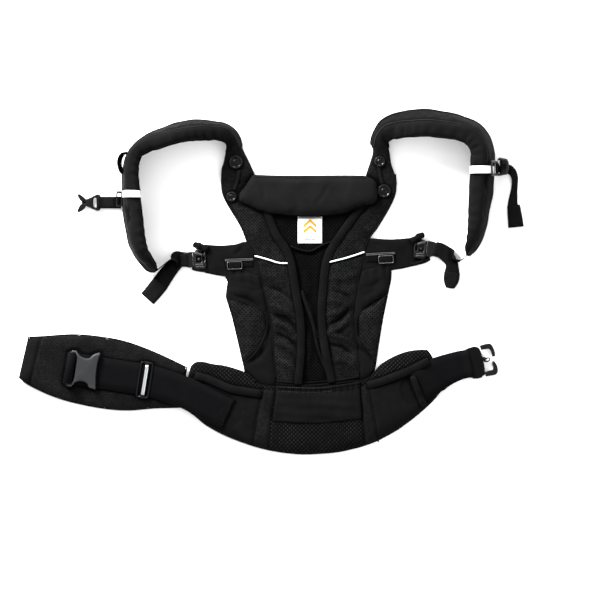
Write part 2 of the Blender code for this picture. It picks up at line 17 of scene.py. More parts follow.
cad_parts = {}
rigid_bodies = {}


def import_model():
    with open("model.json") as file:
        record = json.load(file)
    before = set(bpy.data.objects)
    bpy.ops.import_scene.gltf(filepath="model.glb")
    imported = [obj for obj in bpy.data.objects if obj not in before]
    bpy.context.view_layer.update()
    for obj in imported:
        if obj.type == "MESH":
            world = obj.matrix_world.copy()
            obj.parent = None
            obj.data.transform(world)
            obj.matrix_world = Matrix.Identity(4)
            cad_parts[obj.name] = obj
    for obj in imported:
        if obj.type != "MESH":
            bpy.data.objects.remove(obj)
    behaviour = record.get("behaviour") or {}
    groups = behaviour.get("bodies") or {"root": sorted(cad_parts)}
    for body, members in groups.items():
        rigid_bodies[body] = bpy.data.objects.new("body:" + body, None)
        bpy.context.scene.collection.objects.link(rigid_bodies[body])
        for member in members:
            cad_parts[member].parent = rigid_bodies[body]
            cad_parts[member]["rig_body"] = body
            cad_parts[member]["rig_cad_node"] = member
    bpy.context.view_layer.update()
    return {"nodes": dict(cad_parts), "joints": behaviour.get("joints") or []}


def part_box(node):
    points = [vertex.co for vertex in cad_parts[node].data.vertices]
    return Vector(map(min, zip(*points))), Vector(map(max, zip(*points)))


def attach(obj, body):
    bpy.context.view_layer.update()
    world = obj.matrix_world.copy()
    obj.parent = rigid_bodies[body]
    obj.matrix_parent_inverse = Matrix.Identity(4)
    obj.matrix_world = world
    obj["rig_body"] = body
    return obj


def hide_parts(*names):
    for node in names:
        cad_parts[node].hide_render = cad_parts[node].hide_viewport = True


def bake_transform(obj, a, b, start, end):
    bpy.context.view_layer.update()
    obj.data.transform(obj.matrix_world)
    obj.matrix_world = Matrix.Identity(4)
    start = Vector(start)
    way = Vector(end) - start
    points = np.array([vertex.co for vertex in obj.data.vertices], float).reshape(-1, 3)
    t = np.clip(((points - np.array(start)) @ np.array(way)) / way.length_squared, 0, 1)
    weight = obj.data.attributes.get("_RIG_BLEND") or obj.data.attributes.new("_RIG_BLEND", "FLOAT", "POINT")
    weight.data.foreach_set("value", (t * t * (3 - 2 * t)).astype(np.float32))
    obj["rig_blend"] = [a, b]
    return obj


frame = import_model()

MM = 0.001
VOXEL = 4.5  # remesh size of a padded piece before its cloth simulation
SIM_FRAMES = 20  # how long a padded piece's cloth simulation runs
TABLE = 0.35  # the lowest that cloth lies above the floor
CALM = 3  # rounds of smoothing for what is sewn on top of cloth
NO_CLOTH = 1.0  # the height taken where no cloth lies below a point
RIM_REACH, RIM_DEPTH = 5.0, 9.0  # how far a cushion's rim is drawn along its outline, and inwards
SEAM_REACH = 1.15  # points nearer to a seam than this are drawn onto it
SWING_REACH = 30.0  # the stretch over which cloth bends where a strap swings
BAND_POINTS = 40  # points round a reflective band
DIAGONAL = 1.414  # the pitch of mesh along its own rows, over its pitch along the cloth
CREASE_SHADE_KEEP = 0.08  # how much of its own tone cloth keeps where the painted shade in a fold is deepest
NO_CORNERS = 181  # as the angle from which a corner stays sharp: none does
BOXINESS = 0.62  # the power that rounds a strap's section: 1 makes an ellipse, and less a box
CREASE_SHADE_SIZES = [(2.4, 0.25, 1.3, 0.65), (7.0, 0.3, 3.0, 0.35)]  # painted shade in folds and beside seams, at two sizes: blur, least depth, depth range, share
WAIST_TURN = -9  # degrees that the left waist webbing runs downward
SOCKET_BAR = (-322, -138)  # the middle of the waist socket's bar in plan

WORLD_LIGHT = 1.36  # how bright the white surroundings are
LAMPS = [  # name, place in metres, size, power
    ("key", (-1.5, 1.7, 1.1), 0.7, 300), ("fill", (1.8, -0.5, 1.5), 1.2, 10),
    ("rim", (0.5, 2.4, 0.7), 0.8, 60)]
CAMERA_PLACE = (0.0456, -0.0294, 8.0)
CAMERA_LENS = 300  # so long that it hardly shows depth

# ---------------------------------------------------------------- outlines

BELT = [(-129.5, -137), (-118, -128), (-92, -132), (-72, -135), (-40, -146), (-15, -164), (52, -166),
    (150, -156), (174, -133), (189, -123), (212, -113), (235, -109), (249, -109), (255.8, -118),
    (271.8, -175), (259, -190), (241, -207), (220, -224), (197, -240), (159, -259), (116, -271), (84, -275),
    (41, -276), (-12, -268), (-66, -250), (-103, -231), (-123, -215), (-140, -203)]
LUMBAR = [(-389, -88), (-366, -87), (-317, -84), (-278, -87), (-238, -94), (-202, -106), (-165, -122),
    (-134.6, -137), (-144.6, -201.6), (-189, -203), (-226, -206), (-263, -204), (-312, -195), (-349, -184),
    (-388, -166), (-404, -154)]
SEAM_LEFT = [(-40, 64), (-27, 42), (-16, -3), (-10, -29), (-1, -67), (2, -101), (6, -154)]
SEAM_RIGHT = [(158, 70), (149, 46), (132, -40), (131, -67), (136, -101), (142, -147)]
PANEL = ([(-80, 176), (-81, 158), (-77, 135), (-49, 86)] + SEAM_LEFT + [(6, -170), (52, -173), (142, -163)]
    + SEAM_RIGHT[::-1] + [(169, 84), (192, 123), (199, 141), (200, 153), (199.5, 172), (154, 172), (150, 163),
    (-25, 165), (-28, 176)])
BELT_SEAMS = [[(-15, -172), (-31, -262)], [(5, -176), (-2, -226), (-5, -272)], [(154, -165), (171, -256)],
    [(142, -168), (146, -222), (150, -266)], [(-126, -153), (-93, -164), (-66, -176), (-16, -185)],
    [(153, -171), (197, -157), (254, -131)]]
BELT_PLAIN = [[(-160, -150), (-126, -153), (-93, -164), (-66, -176), (-16, -185), (-31, -262), (-60, -285),
    (-170, -230)], [(153, -171), (197, -157), (254, -131), (300, -130), (300, -230), (180, -285),
    (171, -256)]]
BELT_FINE = [[(-15, -172), (5, -176), (-2, -226), (-5, -272), (-6, -290), (-36, -290), (-31, -262)],
    [(142, -168), (154, -165), (171, -256), (178, -290), (152, -290), (150, -266), (146, -222)]]
BAND_LEFT = [(-122, -149.5), (-106, -154), (-93, -159), (-66, -170.7), (-40, -175.5), (-16, -179.5)]
BAND_RIGHT = [(153, -166), (173.6, -160), (196.7, -151.5), (219.8, -142.3), (242.9, -130.7), (251, -126.5)]
WEBBING_RIGHT = [(231, -168.5, 15.6), (240, -164, 16.0), (252, -156, 15.4), (264, -148.5, 11.0),
    (275, -143, 7.6), (285, -139, 6.2), (298, -134.5, 5.8), (308, -132.2, 5.6)]
SIDE_LEFT = [(-69, 13), (-71, -6), (-73, -24), (-70, -34), (-62, -61), (-43, -143), (-38, -156), (-13, -171),
    (8, -171), (8, -154), (4.5, -101), (1.5, -67), (-7.5, -29), (-13.5, -3), (-17, 13)]
SIDE_RIGHT = [(192, 21), (191, 3), (188, -12), (178, -61), (166, -139), (162, -150), (150, -163), (140, -163),
    (139.6, -147), (133.6, -101), (128.6, -67), (129.6, -40), (141, 21)]
LEAF_LEFT = [(-72, -25), (-62, -61), (-46, -130), (-38, -126), (-24, -112), (-12, -90), (-7, -70), (-9, -52),
    (-20, -43), (-40, -35)]
LEAF_RIGHT = [(186, -20), (178, -61), (167, -131), (160, -124), (147, -108), (138, -90), (135.5, -70),
    (139, -52), (150, -38), (166, -27)]
HEM_LEFT = [(-68, 8), (-70, -6), (-72, -24), (-69.2, -34), (-61.2, -61), (-42.5, -141)]
HEM_RIGHT = [(191, 16), (190.2, 3), (187.2, -12), (177.2, -61), (165.2, -137)]
WING_LEFT = [(-107, 59.5), (-81, 58), (-58, 60), (-40, 64), (-20, 52), (-12, 20), (-12, -4), (-69, -4),
    (-74, 8), (-87, 10), (-107, 14)]
WING_RIGHT = [(150, 70), (190, 68), (209, 69), (228, 70.8), (229.5, 54), (243, 47), (253.5, 40.5), (254, 34),
    (246, 29.6), (229, 25.3), (211, 21), (192, 18), (190, 0), (140, 0), (134, 46)]
HEAD = [(-30, 170.5), (-55, 135), (-51, 129), (-24, 115.5), (0, 108.5), (59, 104.6), (110, 107.5),
    (142, 117.5), (168, 126), (170, 140), (168, 161), (150, 169.2)]
TAPE_LEFT = [(-16, 128), (-6, 108), (7, 76), (24, 50), (31, 30), (35, 8), (41, -29), (46, -61), (47, -110),
    (42, -166)]
TAPE_RIGHT = [(144, 122), (130, 102), (110, 74), (94, 49), (87, 29), (83, -4), (80, -53), (85, -104),
    (97, -162)]
POCKET = [(9, -168), (71, -170), (140, -161.5), (144, -219), (71, -226), (2, -223)]
POCKET_MOUTH = [(30, 57), (46, 51), (63, 49), (80, 58), (98, 65)]

# Folds of the lower front panel: two ends, how high the ridge is and how wide.
FRONT_FOLDS = [((-6, -36), (42, -60), 2.2, 4.5), ((-2, -50), (44, -76), -2.6, 3.2),
    ((0, -62), (44, -90), 2.4, 4), ((3, -80), (46, -108), -2.2, 3.2), ((3, -94), (45, -122), 2.0, 4.5),
    ((-20, 14), (24, -10), 1.6, 6), ((-12, -6), (36, -30), -1.8, 4), ((5, -122), (44, -150), 2.0, 5),
    ((-24, 34), (26, 22), 1.2, 5), ((124, -44), (86, -72), -2.6, 3.2), ((130, -34), (84, -56), 2.2, 4.5),
    ((128, -58), (84, -84), 2.2, 4), ((88, -84), (132, -100), 2.2, 4), ((88, -98), (134, -118), -2.2, 3.2),
    ((92, -124), (138, -138), 1.8, 5), ((140, 14), (92, 4), 1.7, 5), ((92, -14), (132, -28), -1.8, 4),
    ((92, -30), (130, -42), 1.8, 4), ((50, -20), (66, -66), 2.6, 3.4), ((66, -66), (88, -146), 2.4, 3.4),
    ((60, 24), (62, -40), -1.6, 5), ((-50, 90), (-4, 62), 1.0, 8), ((168, 92), (118, 64), 1.0, 8),
    ((74, -20), (70, -60), 1.6, 4), ((56, -80), (58, -140), 1.8, 4), ((-60, 120), (-20, 96), 0.7, 7),
    ((176, 120), (140, 98), 0.7, 7)]
HEAD_FOLDS = [((-22, 163), (-10, 128), -0.9, 3.5), ((92, 159), (67, 120), -0.9, 3.5),
    ((20, 150), (34, 118), 0.6, 7), ((128, 160), (116, 124), 0.6, 7), ((-6, 165), (150, 164), 0.5, 4)]
SIDE_FOLDS_LEFT = [((-72, -20), (-10, -44), -3.0, 3.6), ((-70, -13), (-14, -30), 1.5, 4.5),
    ((-66, 0), (-20, -8), -1.2, 4), ((-60, 8), (-24, 4), 0.9, 5), ((-12, -50), (-6, -100), -2.6, 4.0),
    ((-6, -100), (-42, -134), -2.6, 5.0), ((-30, -24), (-14, -18), 1.0, 3)]
SIDE_FOLDS_RIGHT = [((188, -14), (136, -48), -2.8, 3.6), ((186, -4), (142, -32), 1.7, 4.5),
    ((180, 8), (146, -12), -1.6, 4), ((188, 12), (152, 6), 0.9, 5), ((137, -54), (136, -100), -2.6, 4.0),
    ((138, -102), (166, -134), -2.6, 5), ((158, 2), (146, -24), 1.2, 4)]
WING_FOLDS = [((-44, 58), (-60, 44), -0.8, 2.5), ((-52, 58), (-66, 46), 0.7, 3),
    ((-96, 26), (-72, 20), 0.5, 6), ((164, 62), (182, 52), -0.8, 3), ((196, 60), (216, 56), 0.5, 6)]

# Shoulder straps, from the yoke to the tip: outer edge at the foot, inner edge at the top, height, thickness.
STRAP_LEFT = [(-24, 146, -79, 152, 3.2, 54), (-26, 164, -80.5, 166, 6.5, 52), (-31, 181, -80, 180, 8.0, 46),
    (-37, 195, -77, 191, 9.5, 36), (-43.5, 209, -74.5, 203, 14, 27), (-50.5, 229, -71.5, 212, 21, 21),
    (-60, 243, -72, 219, 28, 20), (-72, 250.5, -79, 224.5, 36, 21), (-95, 255, -99, 226.5, 48, 21),
    (-121, 258, -128, 226, 60, 22), (-150, 253, -153, 221, 66, 22), (-181, 242, -179, 212.5, 66, 22),
    (-205, 230, -193.5, 208, 66, 22), (-222, 215, -205.5, 200.5, 66, 22), (-232.5, 196, -211.5, 188, 66, 20),
    (-236.8, 172, -213.2, 171, 66, 19.5), (-235.0, 112, -207.6, 112, 66, 21.0), (-227, 66, -202, 66, 66, 20),
    (-219, 46, -197.5, 49, 64, 17), (-208, 29, -190, 38, 54, 12), (-196, 17, -184.5, 28, 38, 8),
    (-184, 15.5, -179.5, 21, 27, 5)]
STRAP_RIGHT = [(146, 146, 199, 142, 3.2, 54), (149, 163, 200.5, 159, 6.5, 50), (153, 177, 197, 174, 8.0, 42),
    (157, 191, 192.5, 188, 9.5, 33), (161.5, 208, 190, 204, 13, 27), (158.5, 222, 187.5, 216.5, 19, 23),
    (167, 246, 187, 223, 27, 22), (180, 261, 192.5, 227.5, 36, 24), (198, 269, 202, 229, 48, 25),
    (220, 274, 218.5, 231.5, 60, 25), (246, 275.5, 245, 232.5, 66, 25), (279, 271, 270.5, 230, 66, 25),
    (307, 263, 293.5, 226.5, 66, 25), (333, 251, 309, 220, 66, 25), (349, 229, 317, 210, 66, 24),
    (355.5, 203, 319, 202, 66, 24), (352.5, 143, 316.5, 143, 66, 24), (347, 118, 315.5, 115, 66, 22),
    (339, 80, 314.5, 83, 64, 18), (330, 58, 313, 65, 54, 12), (320, 46, 310.5, 53, 38, 8),
    (312.5, 40, 308.5, 44, 27, 5)]
STRAIGHT = 15  # the station where a strap's straight run starts
STRAP_LOW = 2.8  # how low a standing strap reaches
CORNER = 9  # the corner of a strap's section that carries its piping
FOOT = 17  # the corner where its outer face ends
SLOTS = {"left": (345.0, 12.0), "right": (318.0, 20.0)}  # where the strap's layers part at the bend, along it
STAND = 17  # a strap lower than this still lies flat

# ---------------------------------------------------------------- plan geometry


def smooth_line(points, spacing, closed=False, sharp=48.0):
    """Points at an even spacing on a smooth curve through the given ones. Tight corners stay."""
    given = [np.array(p, float) for p in points]
    count = len(given)
    found = []
    for i in range(count if closed else count - 1):
        p1, p2 = given[i], given[(i + 1) % count]
        p0 = given[i - 1] if closed or i > 0 else 2 * p1 - p2
        p3 = given[(i + 2) % count] if closed or i + 2 < count else 2 * p2 - p1
        if turning(p0, p1, p2) > sharp:
            p0 = 2 * p1 - p2
        if turning(p1, p2, p3) > sharp:
            p3 = 2 * p2 - p1
        length = np.linalg.norm(p2 - p1)
        m1 = length * (p2 - p0) / (length + np.linalg.norm(p1 - p0))
        m2 = length * (p3 - p1) / (length + np.linalg.norm(p3 - p2))
        steps = max(1, round(length / spacing))
        for step in range(steps):
            t = step / steps
            leaving = (2 * t**3 - 3 * t**2 + 1) * p1 + (t**3 - 2 * t**2 + t) * m1
            found.append(leaving + (3 * t**2 - 2 * t**3) * p2 + (t**3 - t**2) * m2)
    if not closed:
        found.append(given[-1])
    return np.array(found)


def turning(a, b, c):
    """The angle, in degrees, that a path turns through at b."""
    come, go = (b - a)[:2], (c - b)[:2]
    size = np.linalg.norm(come) * np.linalg.norm(go)
    return np.degrees(np.arccos(np.clip(come @ go / max(size, 1e-9), -1, 1)))


def distance_to(points, path, closed=False):
    """How far each point in plan is from a path, and how far along it the nearest place is."""
    points = np.asarray(points, float)[:, :2]
    path = np.asarray(path, float)[:, :2]
    ends = np.roll(path, -1, 0) if closed else path[1:]
    starts = path if closed else path[:-1]
    best = np.full(len(points), 1e9)
    along = np.zeros(len(points))
    travelled = 0.0
    for a, b in zip(starts, ends):
        step = b - a
        length = np.linalg.norm(step)
        if length < 1e-9:
            continue
        t = np.clip((points - a) @ step / length**2, 0, 1)
        far = np.linalg.norm(points - a - t[:, None] * step, axis=1)
        nearer = far < best
        best[nearer] = far[nearer]
        along[nearer] = travelled + t[nearer] * length
        travelled += length
    return best, along


def inside(points, outline):
    """Which points in plan lie inside an outline."""
    points = np.asarray(points, float)
    found = np.zeros(len(points), bool)
    x, y = points[:, 0], points[:, 1]
    for (x0, y0), (x1, y1) in zip(outline, np.roll(outline, -1, 0)):
        crosses = (y0 > y) != (y1 > y)
        if crosses.any():
            edge = x0 + (y - y0) * (x1 - x0) / ((y1 - y0) or 1e-9)
            found ^= crosses & (x < edge)
    return found


def offset(path, distance, closed=True):
    """The same path moved to its left."""
    path = np.asarray(path, float)
    ahead, behind = np.roll(path, -1, 0), np.roll(path, 1, 0)
    if not closed:
        ahead[-1], behind[0] = path[-1], path[0]
    along = ahead - behind
    along /= np.maximum(np.linalg.norm(along, axis=1), 1e-9)[:, None]
    return path + distance * np.column_stack([-along[:, 1], along[:, 0]])


def counterclockwise(outline):
    """The same outline, running counterclockwise."""
    outline = np.asarray(outline, float)
    x, y = outline[:, 0], outline[:, 1]
    area = (x * np.roll(y, -1) - np.roll(x, -1) * y).sum()
    return outline if area > 0 else outline[::-1]


def ridges(points, folds):
    """The height that a list of folds adds at each point."""
    height = np.zeros(len(points))
    for a, b, rise, width in folds:
        path = bowed(a, b)
        length = np.linalg.norm(np.subtract(b, a))
        far, along = distance_to(points, path)
        fade = np.clip(np.minimum(along, length - along) / (0.35 * length) + 0.15, 0, 1)
        height += rise * np.exp(-((far / width) ** 2)) * fade
    return height


def bowed(a, b):
    """A path from a to b that bends a little to its left."""
    a, b = np.array(a, float), np.array(b, float)
    side = np.array([a[1] - b[1], b[0] - a[0]]) * 0.08
    return np.array([a, (a + b) / 2 + side, b])


def ripple(points, size, seed=0.0):
    """Smooth noise between about -1 and 1, at a size in millimetres."""
    return np.array([noise.noise(Vector((x / size + seed, y / size, seed))) for x, y in points[:, :2]])


# ---------------------------------------------------------------- objects


def link(name, mesh, look, body=None):
    """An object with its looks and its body."""
    made = bpy.data.objects.new(name, mesh)
    bpy.context.scene.collection.objects.link(made)
    for each in look if isinstance(look, (list, tuple)) else [look]:
        mesh.materials.append(MATERIALS[each])
    if body:
        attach(made, body)
    return made


def set_weave(mesh, coordinates):
    """Where each point lies on its cloth, in metres. The fabric materials read it."""
    attribute = mesh.attributes.get("weave") or mesh.attributes.new("weave", "FLOAT_VECTOR", "POINT")
    attribute.data.foreach_set("vector", np.asarray(coordinates, np.float32).ravel())


def tube_faces(rows, size, closed=False):
    """The faces between rings of points, and the two caps where the tube is open."""
    faces = []
    for i in range(rows if closed else rows - 1):
        j = (i + 1) % rows
        for k in range(size):
            m = (k + 1) % size
            faces.append([i * size + k, i * size + m, j * size + m, j * size + k])
    if not closed:
        faces += [list(range(size))[::-1], list(range((rows - 1) * size, rows * size))]
    return faces


def mesh_from(name, points, faces, weave=None):
    """A mesh from points in millimetres."""
    mesh = bpy.data.meshes.new(name)
    points = np.asarray(points, float) * MM
    mesh.from_pydata(points.tolist(), [], faces)
    bm = bmesh.new()
    bm.from_mesh(mesh)
    bmesh.ops.recalc_face_normals(bm, faces=bm.faces)
    bm.to_mesh(mesh)
    bm.free()
    set_weave(mesh, points if weave is None else np.asarray(weave, float) * MM)
    mesh.shade_smooth()
    return mesh


def cloth_plan(outline, spacing, rings, holes=()):
    """A triangle grid over an outline, with extra rings of points close to its edge and its holes."""
    edge = counterclockwise(smooth_line(outline, spacing, closed=True))
    gaps = [counterclockwise(smooth_line(hole, spacing, closed=True))[::-1] for hole in holes]
    borders = [edge, *gaps]
    low, high = edge.min(0), edge.max(0)
    rows = []
    for row, y in enumerate(np.arange(low[1] + spacing / 2, high[1], spacing * 0.87)):
        shift = spacing / 2 * (row % 2)
        rows += [(x, y) for x in np.arange(low[0] + spacing / 2 + shift, high[0], spacing)]

    def clear(points, far):
        good = inside(points, edge) & (distance_to(points, edge, closed=True)[0] > far)
        for gap in gaps:
            good &= ~inside(points, gap) & (distance_to(points, gap, closed=True)[0] > far)
        return good

    grid = np.array(rows).reshape(-1, 2)
    extra = list(borders)
    for ring in rings:
        for border in borders:
            loop = offset(border, ring)
            extra.append(loop[clear(loop, ring * 0.8)])
    if len(grid):
        extra.append(grid[clear(grid, (rings[-1] if rings else 0) + spacing * 0.55)])
    loops, first = [], 0
    for border in borders:
        count = len(border)
        loops += [(first + i, first + (i + 1) % count) for i in range(count)]
        first += count
    found = delaunay_2d_cdt([Vector(p) for p in np.vstack(extra)], loops, [], 1, 1e-4)
    flat = np.array([tuple(p) for p in found[0]])
    triangles = [tuple(f) for f in found[2]]
    if gaps:
        middles = np.array([flat[list(t)].mean(0) for t in triangles])
        open_to = np.zeros(len(triangles), bool)
        for gap in gaps:
            open_to |= inside(middles, gap)
        triangles = [t for t, cut in zip(triangles, open_to) if not cut]
    return flat, triangles, borders


def cloth_solid(name, outline, spacing, height, low, look, body=None, edge_round=3.0, rings=(0.5, 1.4, 3.0),
        region=None, holes=()):
    """A closed flat piece over an outline. height(points, distance to edge) and low give its two sides."""
    flat, triangles, borders = cloth_plan(outline, spacing, rings, holes)
    far = np.min([distance_to(flat, border, closed=True)[0] for border in borders], axis=0)
    far[far < 0.02] = 0
    top = height(flat, far)
    bottom = low(flat) if callable(low) else np.full(len(flat), float(low))
    curve = np.sqrt(1 - (1 - np.clip(far / edge_round, 0, 1)) ** 2)
    middle = bottom + 0.35 * (top - bottom)
    upper = middle + (top - middle) * curve
    lower = middle + (bottom - middle) * np.clip(curve * 1.4, 0, 1)
    on_edge = far == 0
    index = np.full(len(flat), -1)
    index[~on_edge] = np.arange((~on_edge).sum()) + len(flat)
    index[on_edge] = np.where(on_edge)[0]
    points = np.vstack([np.column_stack([flat, upper]), np.column_stack([flat, lower])[~on_edge]])
    faces = [list(t) for t in triangles] + [[int(index[i]) for i in t[::-1]] for t in triangles]
    mesh = mesh_from(name, points, faces)
    made = link(name, mesh, look, body)
    if region:
        centers = np.array([tuple(p.center) for p in mesh.polygons]) / MM
        mesh.polygons.foreach_set("material_index", region(centers).astype(np.int32))
    return made


def plate(name, outline, low, high, look, body, holes=(), edge_round=1.0, place=None, spacing=1.6, dome=0.0,
        rim=0.0, nodes=()):
    """A moulded plate with windows, rounded edges, and a dome or a raised rim on its top."""
    def height(points, far):
        full = far.max() or 1.0
        lip = rim * np.exp(-(((far - edge_round) / 0.9) ** 2))
        return high + dome * np.sqrt(np.clip(far / full, 0, 1)) + lip

    made = cloth_solid(name, outline, spacing, height, low, look, None, edge_round, (0.2, 0.5, 1.0, 1.6),
        holes=holes)
    if place is not None:
        grow = Matrix.Scale(MM, 4)
        made.data.transform(grow @ place @ grow.inverted())
    set_weave(made.data, [tuple(v.co) for v in made.data.vertices])
    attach(made, body)
    if nodes:
        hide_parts(*nodes)
    return made


def box_outline(x0, y0, x1, y1, corner=0.8):
    """A rectangle with small cut corners."""
    c = corner
    return [(x0 + c, y0), (x1 - c, y0), (x1, y0 + c), (x1, y1 - c), (x1 - c, y1), (x0 + c, y1), (x0, y1 - c),
        (x0, y0 + c)]


class Surface:
    """The top of some finished pieces, given as objects or by name, so that others can lie on them."""

    def __init__(self, *objects):
        bpy.context.view_layer.update()
        points, faces = [], []
        for each in objects:
            each = bpy.data.objects[each] if isinstance(each, str) else each
            start = len(points)
            points += [each.matrix_world @ v.co for v in each.data.vertices]
            faces += [[start + i for i in p.vertices] for p in each.data.polygons]
        self.tree = BVHTree.FromPolygons(points, faces)

    def top(self, points, around=0.0):
        """The height at each point, or the greatest within a short way of it."""
        shifts = [(0, 0)]
        if around:
            shifts += [(around, 0), (-around, 0), (0, around), (0, -around)]
        heights = []
        for p in points:
            found = []
            for dx, dy in shifts:
                hit = self.tree.ray_cast(Vector(((p[0] + dx) * MM, (p[1] + dy) * MM, 0.2)),
                    Vector((0, 0, -1)))[0]
                if hit:
                    found.append(hit.z / MM)
            heights.append(max(found, default=NO_CLOTH))
        return np.array(heights)

    def nearest(self, points, rise=0.0):
        """The nearest place on the surface to each point in space, lifted off it."""
        found = []
        for p in points:
            place, normal, _, _ = self.tree.find_nearest(Vector(p) * MM)
            found.append(tuple(place / MM + normal * rise))
        return np.array(found)


def applique(name, outline, surface, rise, look, body, spacing=3.0, relief=None, round_off=1.2):
    """A thin panel sewn on top of another piece."""
    def height(points, far):
        return surface.top(points, around=1.6) + rise + (relief(points, far) if relief else 0)

    def low(points):
        return surface.top(points) - 0.3

    return cloth_solid(name, outline, spacing, height, low, look, body, round_off, (0.4, 1.2))


def fit_outline(points, edge):
    """Moves a cushion's rim out to its outline, and carries the cloth near it along."""
    samples = edge[::2]
    gap = np.linalg.norm(points[None, :, :2] - samples[:, None, :], axis=2)
    move = samples - points[gap.argmin(1), :2]
    far = distance_to(points, edge, closed=True)[0]
    near = np.where(far < 2.5 * RIM_DEPTH)[0]
    weight = np.exp(-((gap[:, near] / RIM_REACH) ** 2) / 2) + 1e-12
    pull = (weight.T @ move) / weight.sum(0)[:, None]
    points[near, :2] += pull * np.exp(-((far[near] / RIM_DEPTH) ** 2))[:, None]
    return points


def sweep(name, path, section, look, body=None, across=None, closed=False, scales=None):
    """A section, as (across, up) pairs, carried along a path in space."""
    path = np.asarray(path, float)
    count = len(path)
    points, weave = [], []
    side = None
    travelled = 0.0
    for i in range(count):
        ahead = path[(i + 1) % count] if closed or i + 1 < count else path[i]
        behind = path[i - 1] if closed or i > 0 else path[i]
        along = Vector(ahead - behind).normalized()
        if across is not None:
            side = Vector(across[i])
        elif side is None:
            side = along.cross(Vector((0, 0, 1)))
            if side.length < 1e-6:
                side = Vector((1, 0, 0))
        side = (side - along * side.dot(along)).normalized()
        up = side.cross(along)
        scale = scales[i] if scales is not None else (1.0, 1.0)
        if i:
            travelled += float(np.linalg.norm(path[i] - path[i - 1]))
        for a, b in section:
            points.append(tuple(Vector(path[i]) + side * a * scale[0] + up * b * scale[1]))
            weave.append((travelled, a * scale[0], 0.0))
    faces = tube_faces(count, len(section), closed)
    return link(name, mesh_from(name, points, faces, weave), look, body)


def round_section(radius, count=10, flatten=1.0):
    """A round section, or an oval one."""
    turns = [2 * pi * i / count for i in range(count)]
    return [(radius * cos(t), radius * sin(t) * flatten) for t in turns]


def webbing_section(width, thick):
    """Flat webbing with rounded edges and a slight crown."""
    half, t = width / 2, thick / 2
    return [(-half, 0), (-half + 0.35 * thick, -t), (0, -t), (half - 0.35 * thick, -t), (half, 0),
        (half - 0.35 * thick, t), (half * 0.5, t * 1.12), (0, t * 1.16), (-half * 0.5, t * 1.12),
        (-half + 0.35 * thick, t)]


def smooth_values(values, rounds):
    """The same values, each drawn towards its two neighbours."""
    values = np.array(values, float)
    for _ in range(rounds):
        values[1:-1] = (values[:-2] + 2 * values[1:-1] + values[2:]) / 4
    return values


def on_surface(path, surface, rise, calm=0):
    """A path laid on a surface. calm rounds of smoothing take the cloth's small bumps out of it."""
    path = np.asarray(path, float)[:, :2]
    return np.column_stack([path, smooth_values(surface.top(path) + rise, calm)])


def cord(name, path, radius, body="carrier", flat=0.8, closed=False):
    """The rolled edge of a seam."""
    return sweep(name, path, round_section(radius, 8, flat), "cloth_tape", body, closed=closed)


def edge_cord(name, outline, height, body):
    """The sewn edge of a cushion, half-way up its side."""
    edge = offset(counterclockwise(smooth_line(outline, 4, closed=True)), 0.9)
    cord(name, np.column_stack([edge, np.full(len(edge), height)]), 1.1, body, flat=1.2, closed=True)


def stitches(name, lines, surface, body, look="thread", length=2.8, gap=1.3, thick=0.45):
    """Rows of stitches. Each line is a path in plan, or in space where no surface is given."""
    points, faces = [], []
    for line in lines:
        line = np.asarray(line, float)
        steps = np.linalg.norm(np.diff(line, axis=0), axis=1)
        reach = np.concatenate([[0], np.cumsum(steps)])
        starts = np.arange(gap, reach[-1] - length, length + gap)
        for start in starts:
            ends = []
            for at in (start, start + length):
                ends.append([np.interp(at, reach, line[:, k]) for k in range(line.shape[1])])
            ends = np.array(ends)
            if surface:
                ends = np.column_stack([ends[:, :2], surface.top(ends) + 0.12])
            along = Vector(ends[1] - ends[0]).normalized()
            side = along.cross(Vector((0, 0, 1))).normalized() * thick / 2
            up = side.cross(along).normalized() * thick / 2
            base = len(points)
            a, b = Vector(ends[0]), Vector(ends[1])
            near, farther = a.lerp(b, 0.2), a.lerp(b, 0.8)
            points.append(tuple(a - up))
            for middle in (near, farther):
                points += [tuple(middle + side), tuple(middle + up), tuple(middle - side), tuple(middle - up)]
            points.append(tuple(b - up))
            for k in range(4):
                m = (k + 1) % 4
                faces.append([base, base + 1 + m, base + 1 + k])
                faces.append([base + 1 + k, base + 1 + m, base + 5 + m, base + 5 + k])
                faces.append([base + 9, base + 5 + k, base + 5 + m])
    return link(name, mesh_from(name, points, faces), look, body)


# ---------------------------------------------------------------- padded pieces


def simulate(obj, pressure, cap):
    """Blows a closed cloth up a little, by cap millimetres at most, and keeps the result."""
    scene = bpy.context.scene
    before = np.array([tuple(v.co) for v in obj.data.vertices])
    cloth = obj.modifiers.new("Cloth", "CLOTH")
    cloth.settings.quality = 4
    cloth.settings.mass = 0.3
    cloth.settings.tension_stiffness = 12
    cloth.settings.compression_stiffness = 12
    cloth.settings.shear_stiffness = 5
    cloth.settings.bending_stiffness = 0.5
    cloth.settings.use_pressure = True
    cloth.settings.uniform_pressure_force = pressure
    cloth.settings.effector_weights.gravity = 0
    cloth.collision_settings.use_collision = False
    cloth.point_cache.frame_start = 1
    cloth.point_cache.frame_end = SIM_FRAMES
    for step in range(1, SIM_FRAMES + 1):
        scene.frame_set(step)
    graph = bpy.context.evaluated_depsgraph_get()
    after = np.array([tuple(v.co) for v in obj.evaluated_get(graph).data.vertices])
    obj.modifiers.remove(cloth)
    scene.frame_set(1)
    moved = after - before
    far = np.linalg.norm(moved, axis=1)
    limit = cap * MM
    moved *= (limit * np.tanh(far / limit) / np.maximum(far, 1e-9))[:, None]
    obj.data.vertices.foreach_set("co", (before + moved).ravel())


def positions(obj):
    """An object's points in millimetres."""
    found = np.empty(len(obj.data.vertices) * 3)
    obj.data.vertices.foreach_get("co", found)
    return found.reshape(-1, 3) / MM


def set_positions(obj, points):
    """Puts an object's points, given in millimetres, in place."""
    obj.data.vertices.foreach_set("co", (np.asarray(points) * MM).ravel())
    obj.data.update()


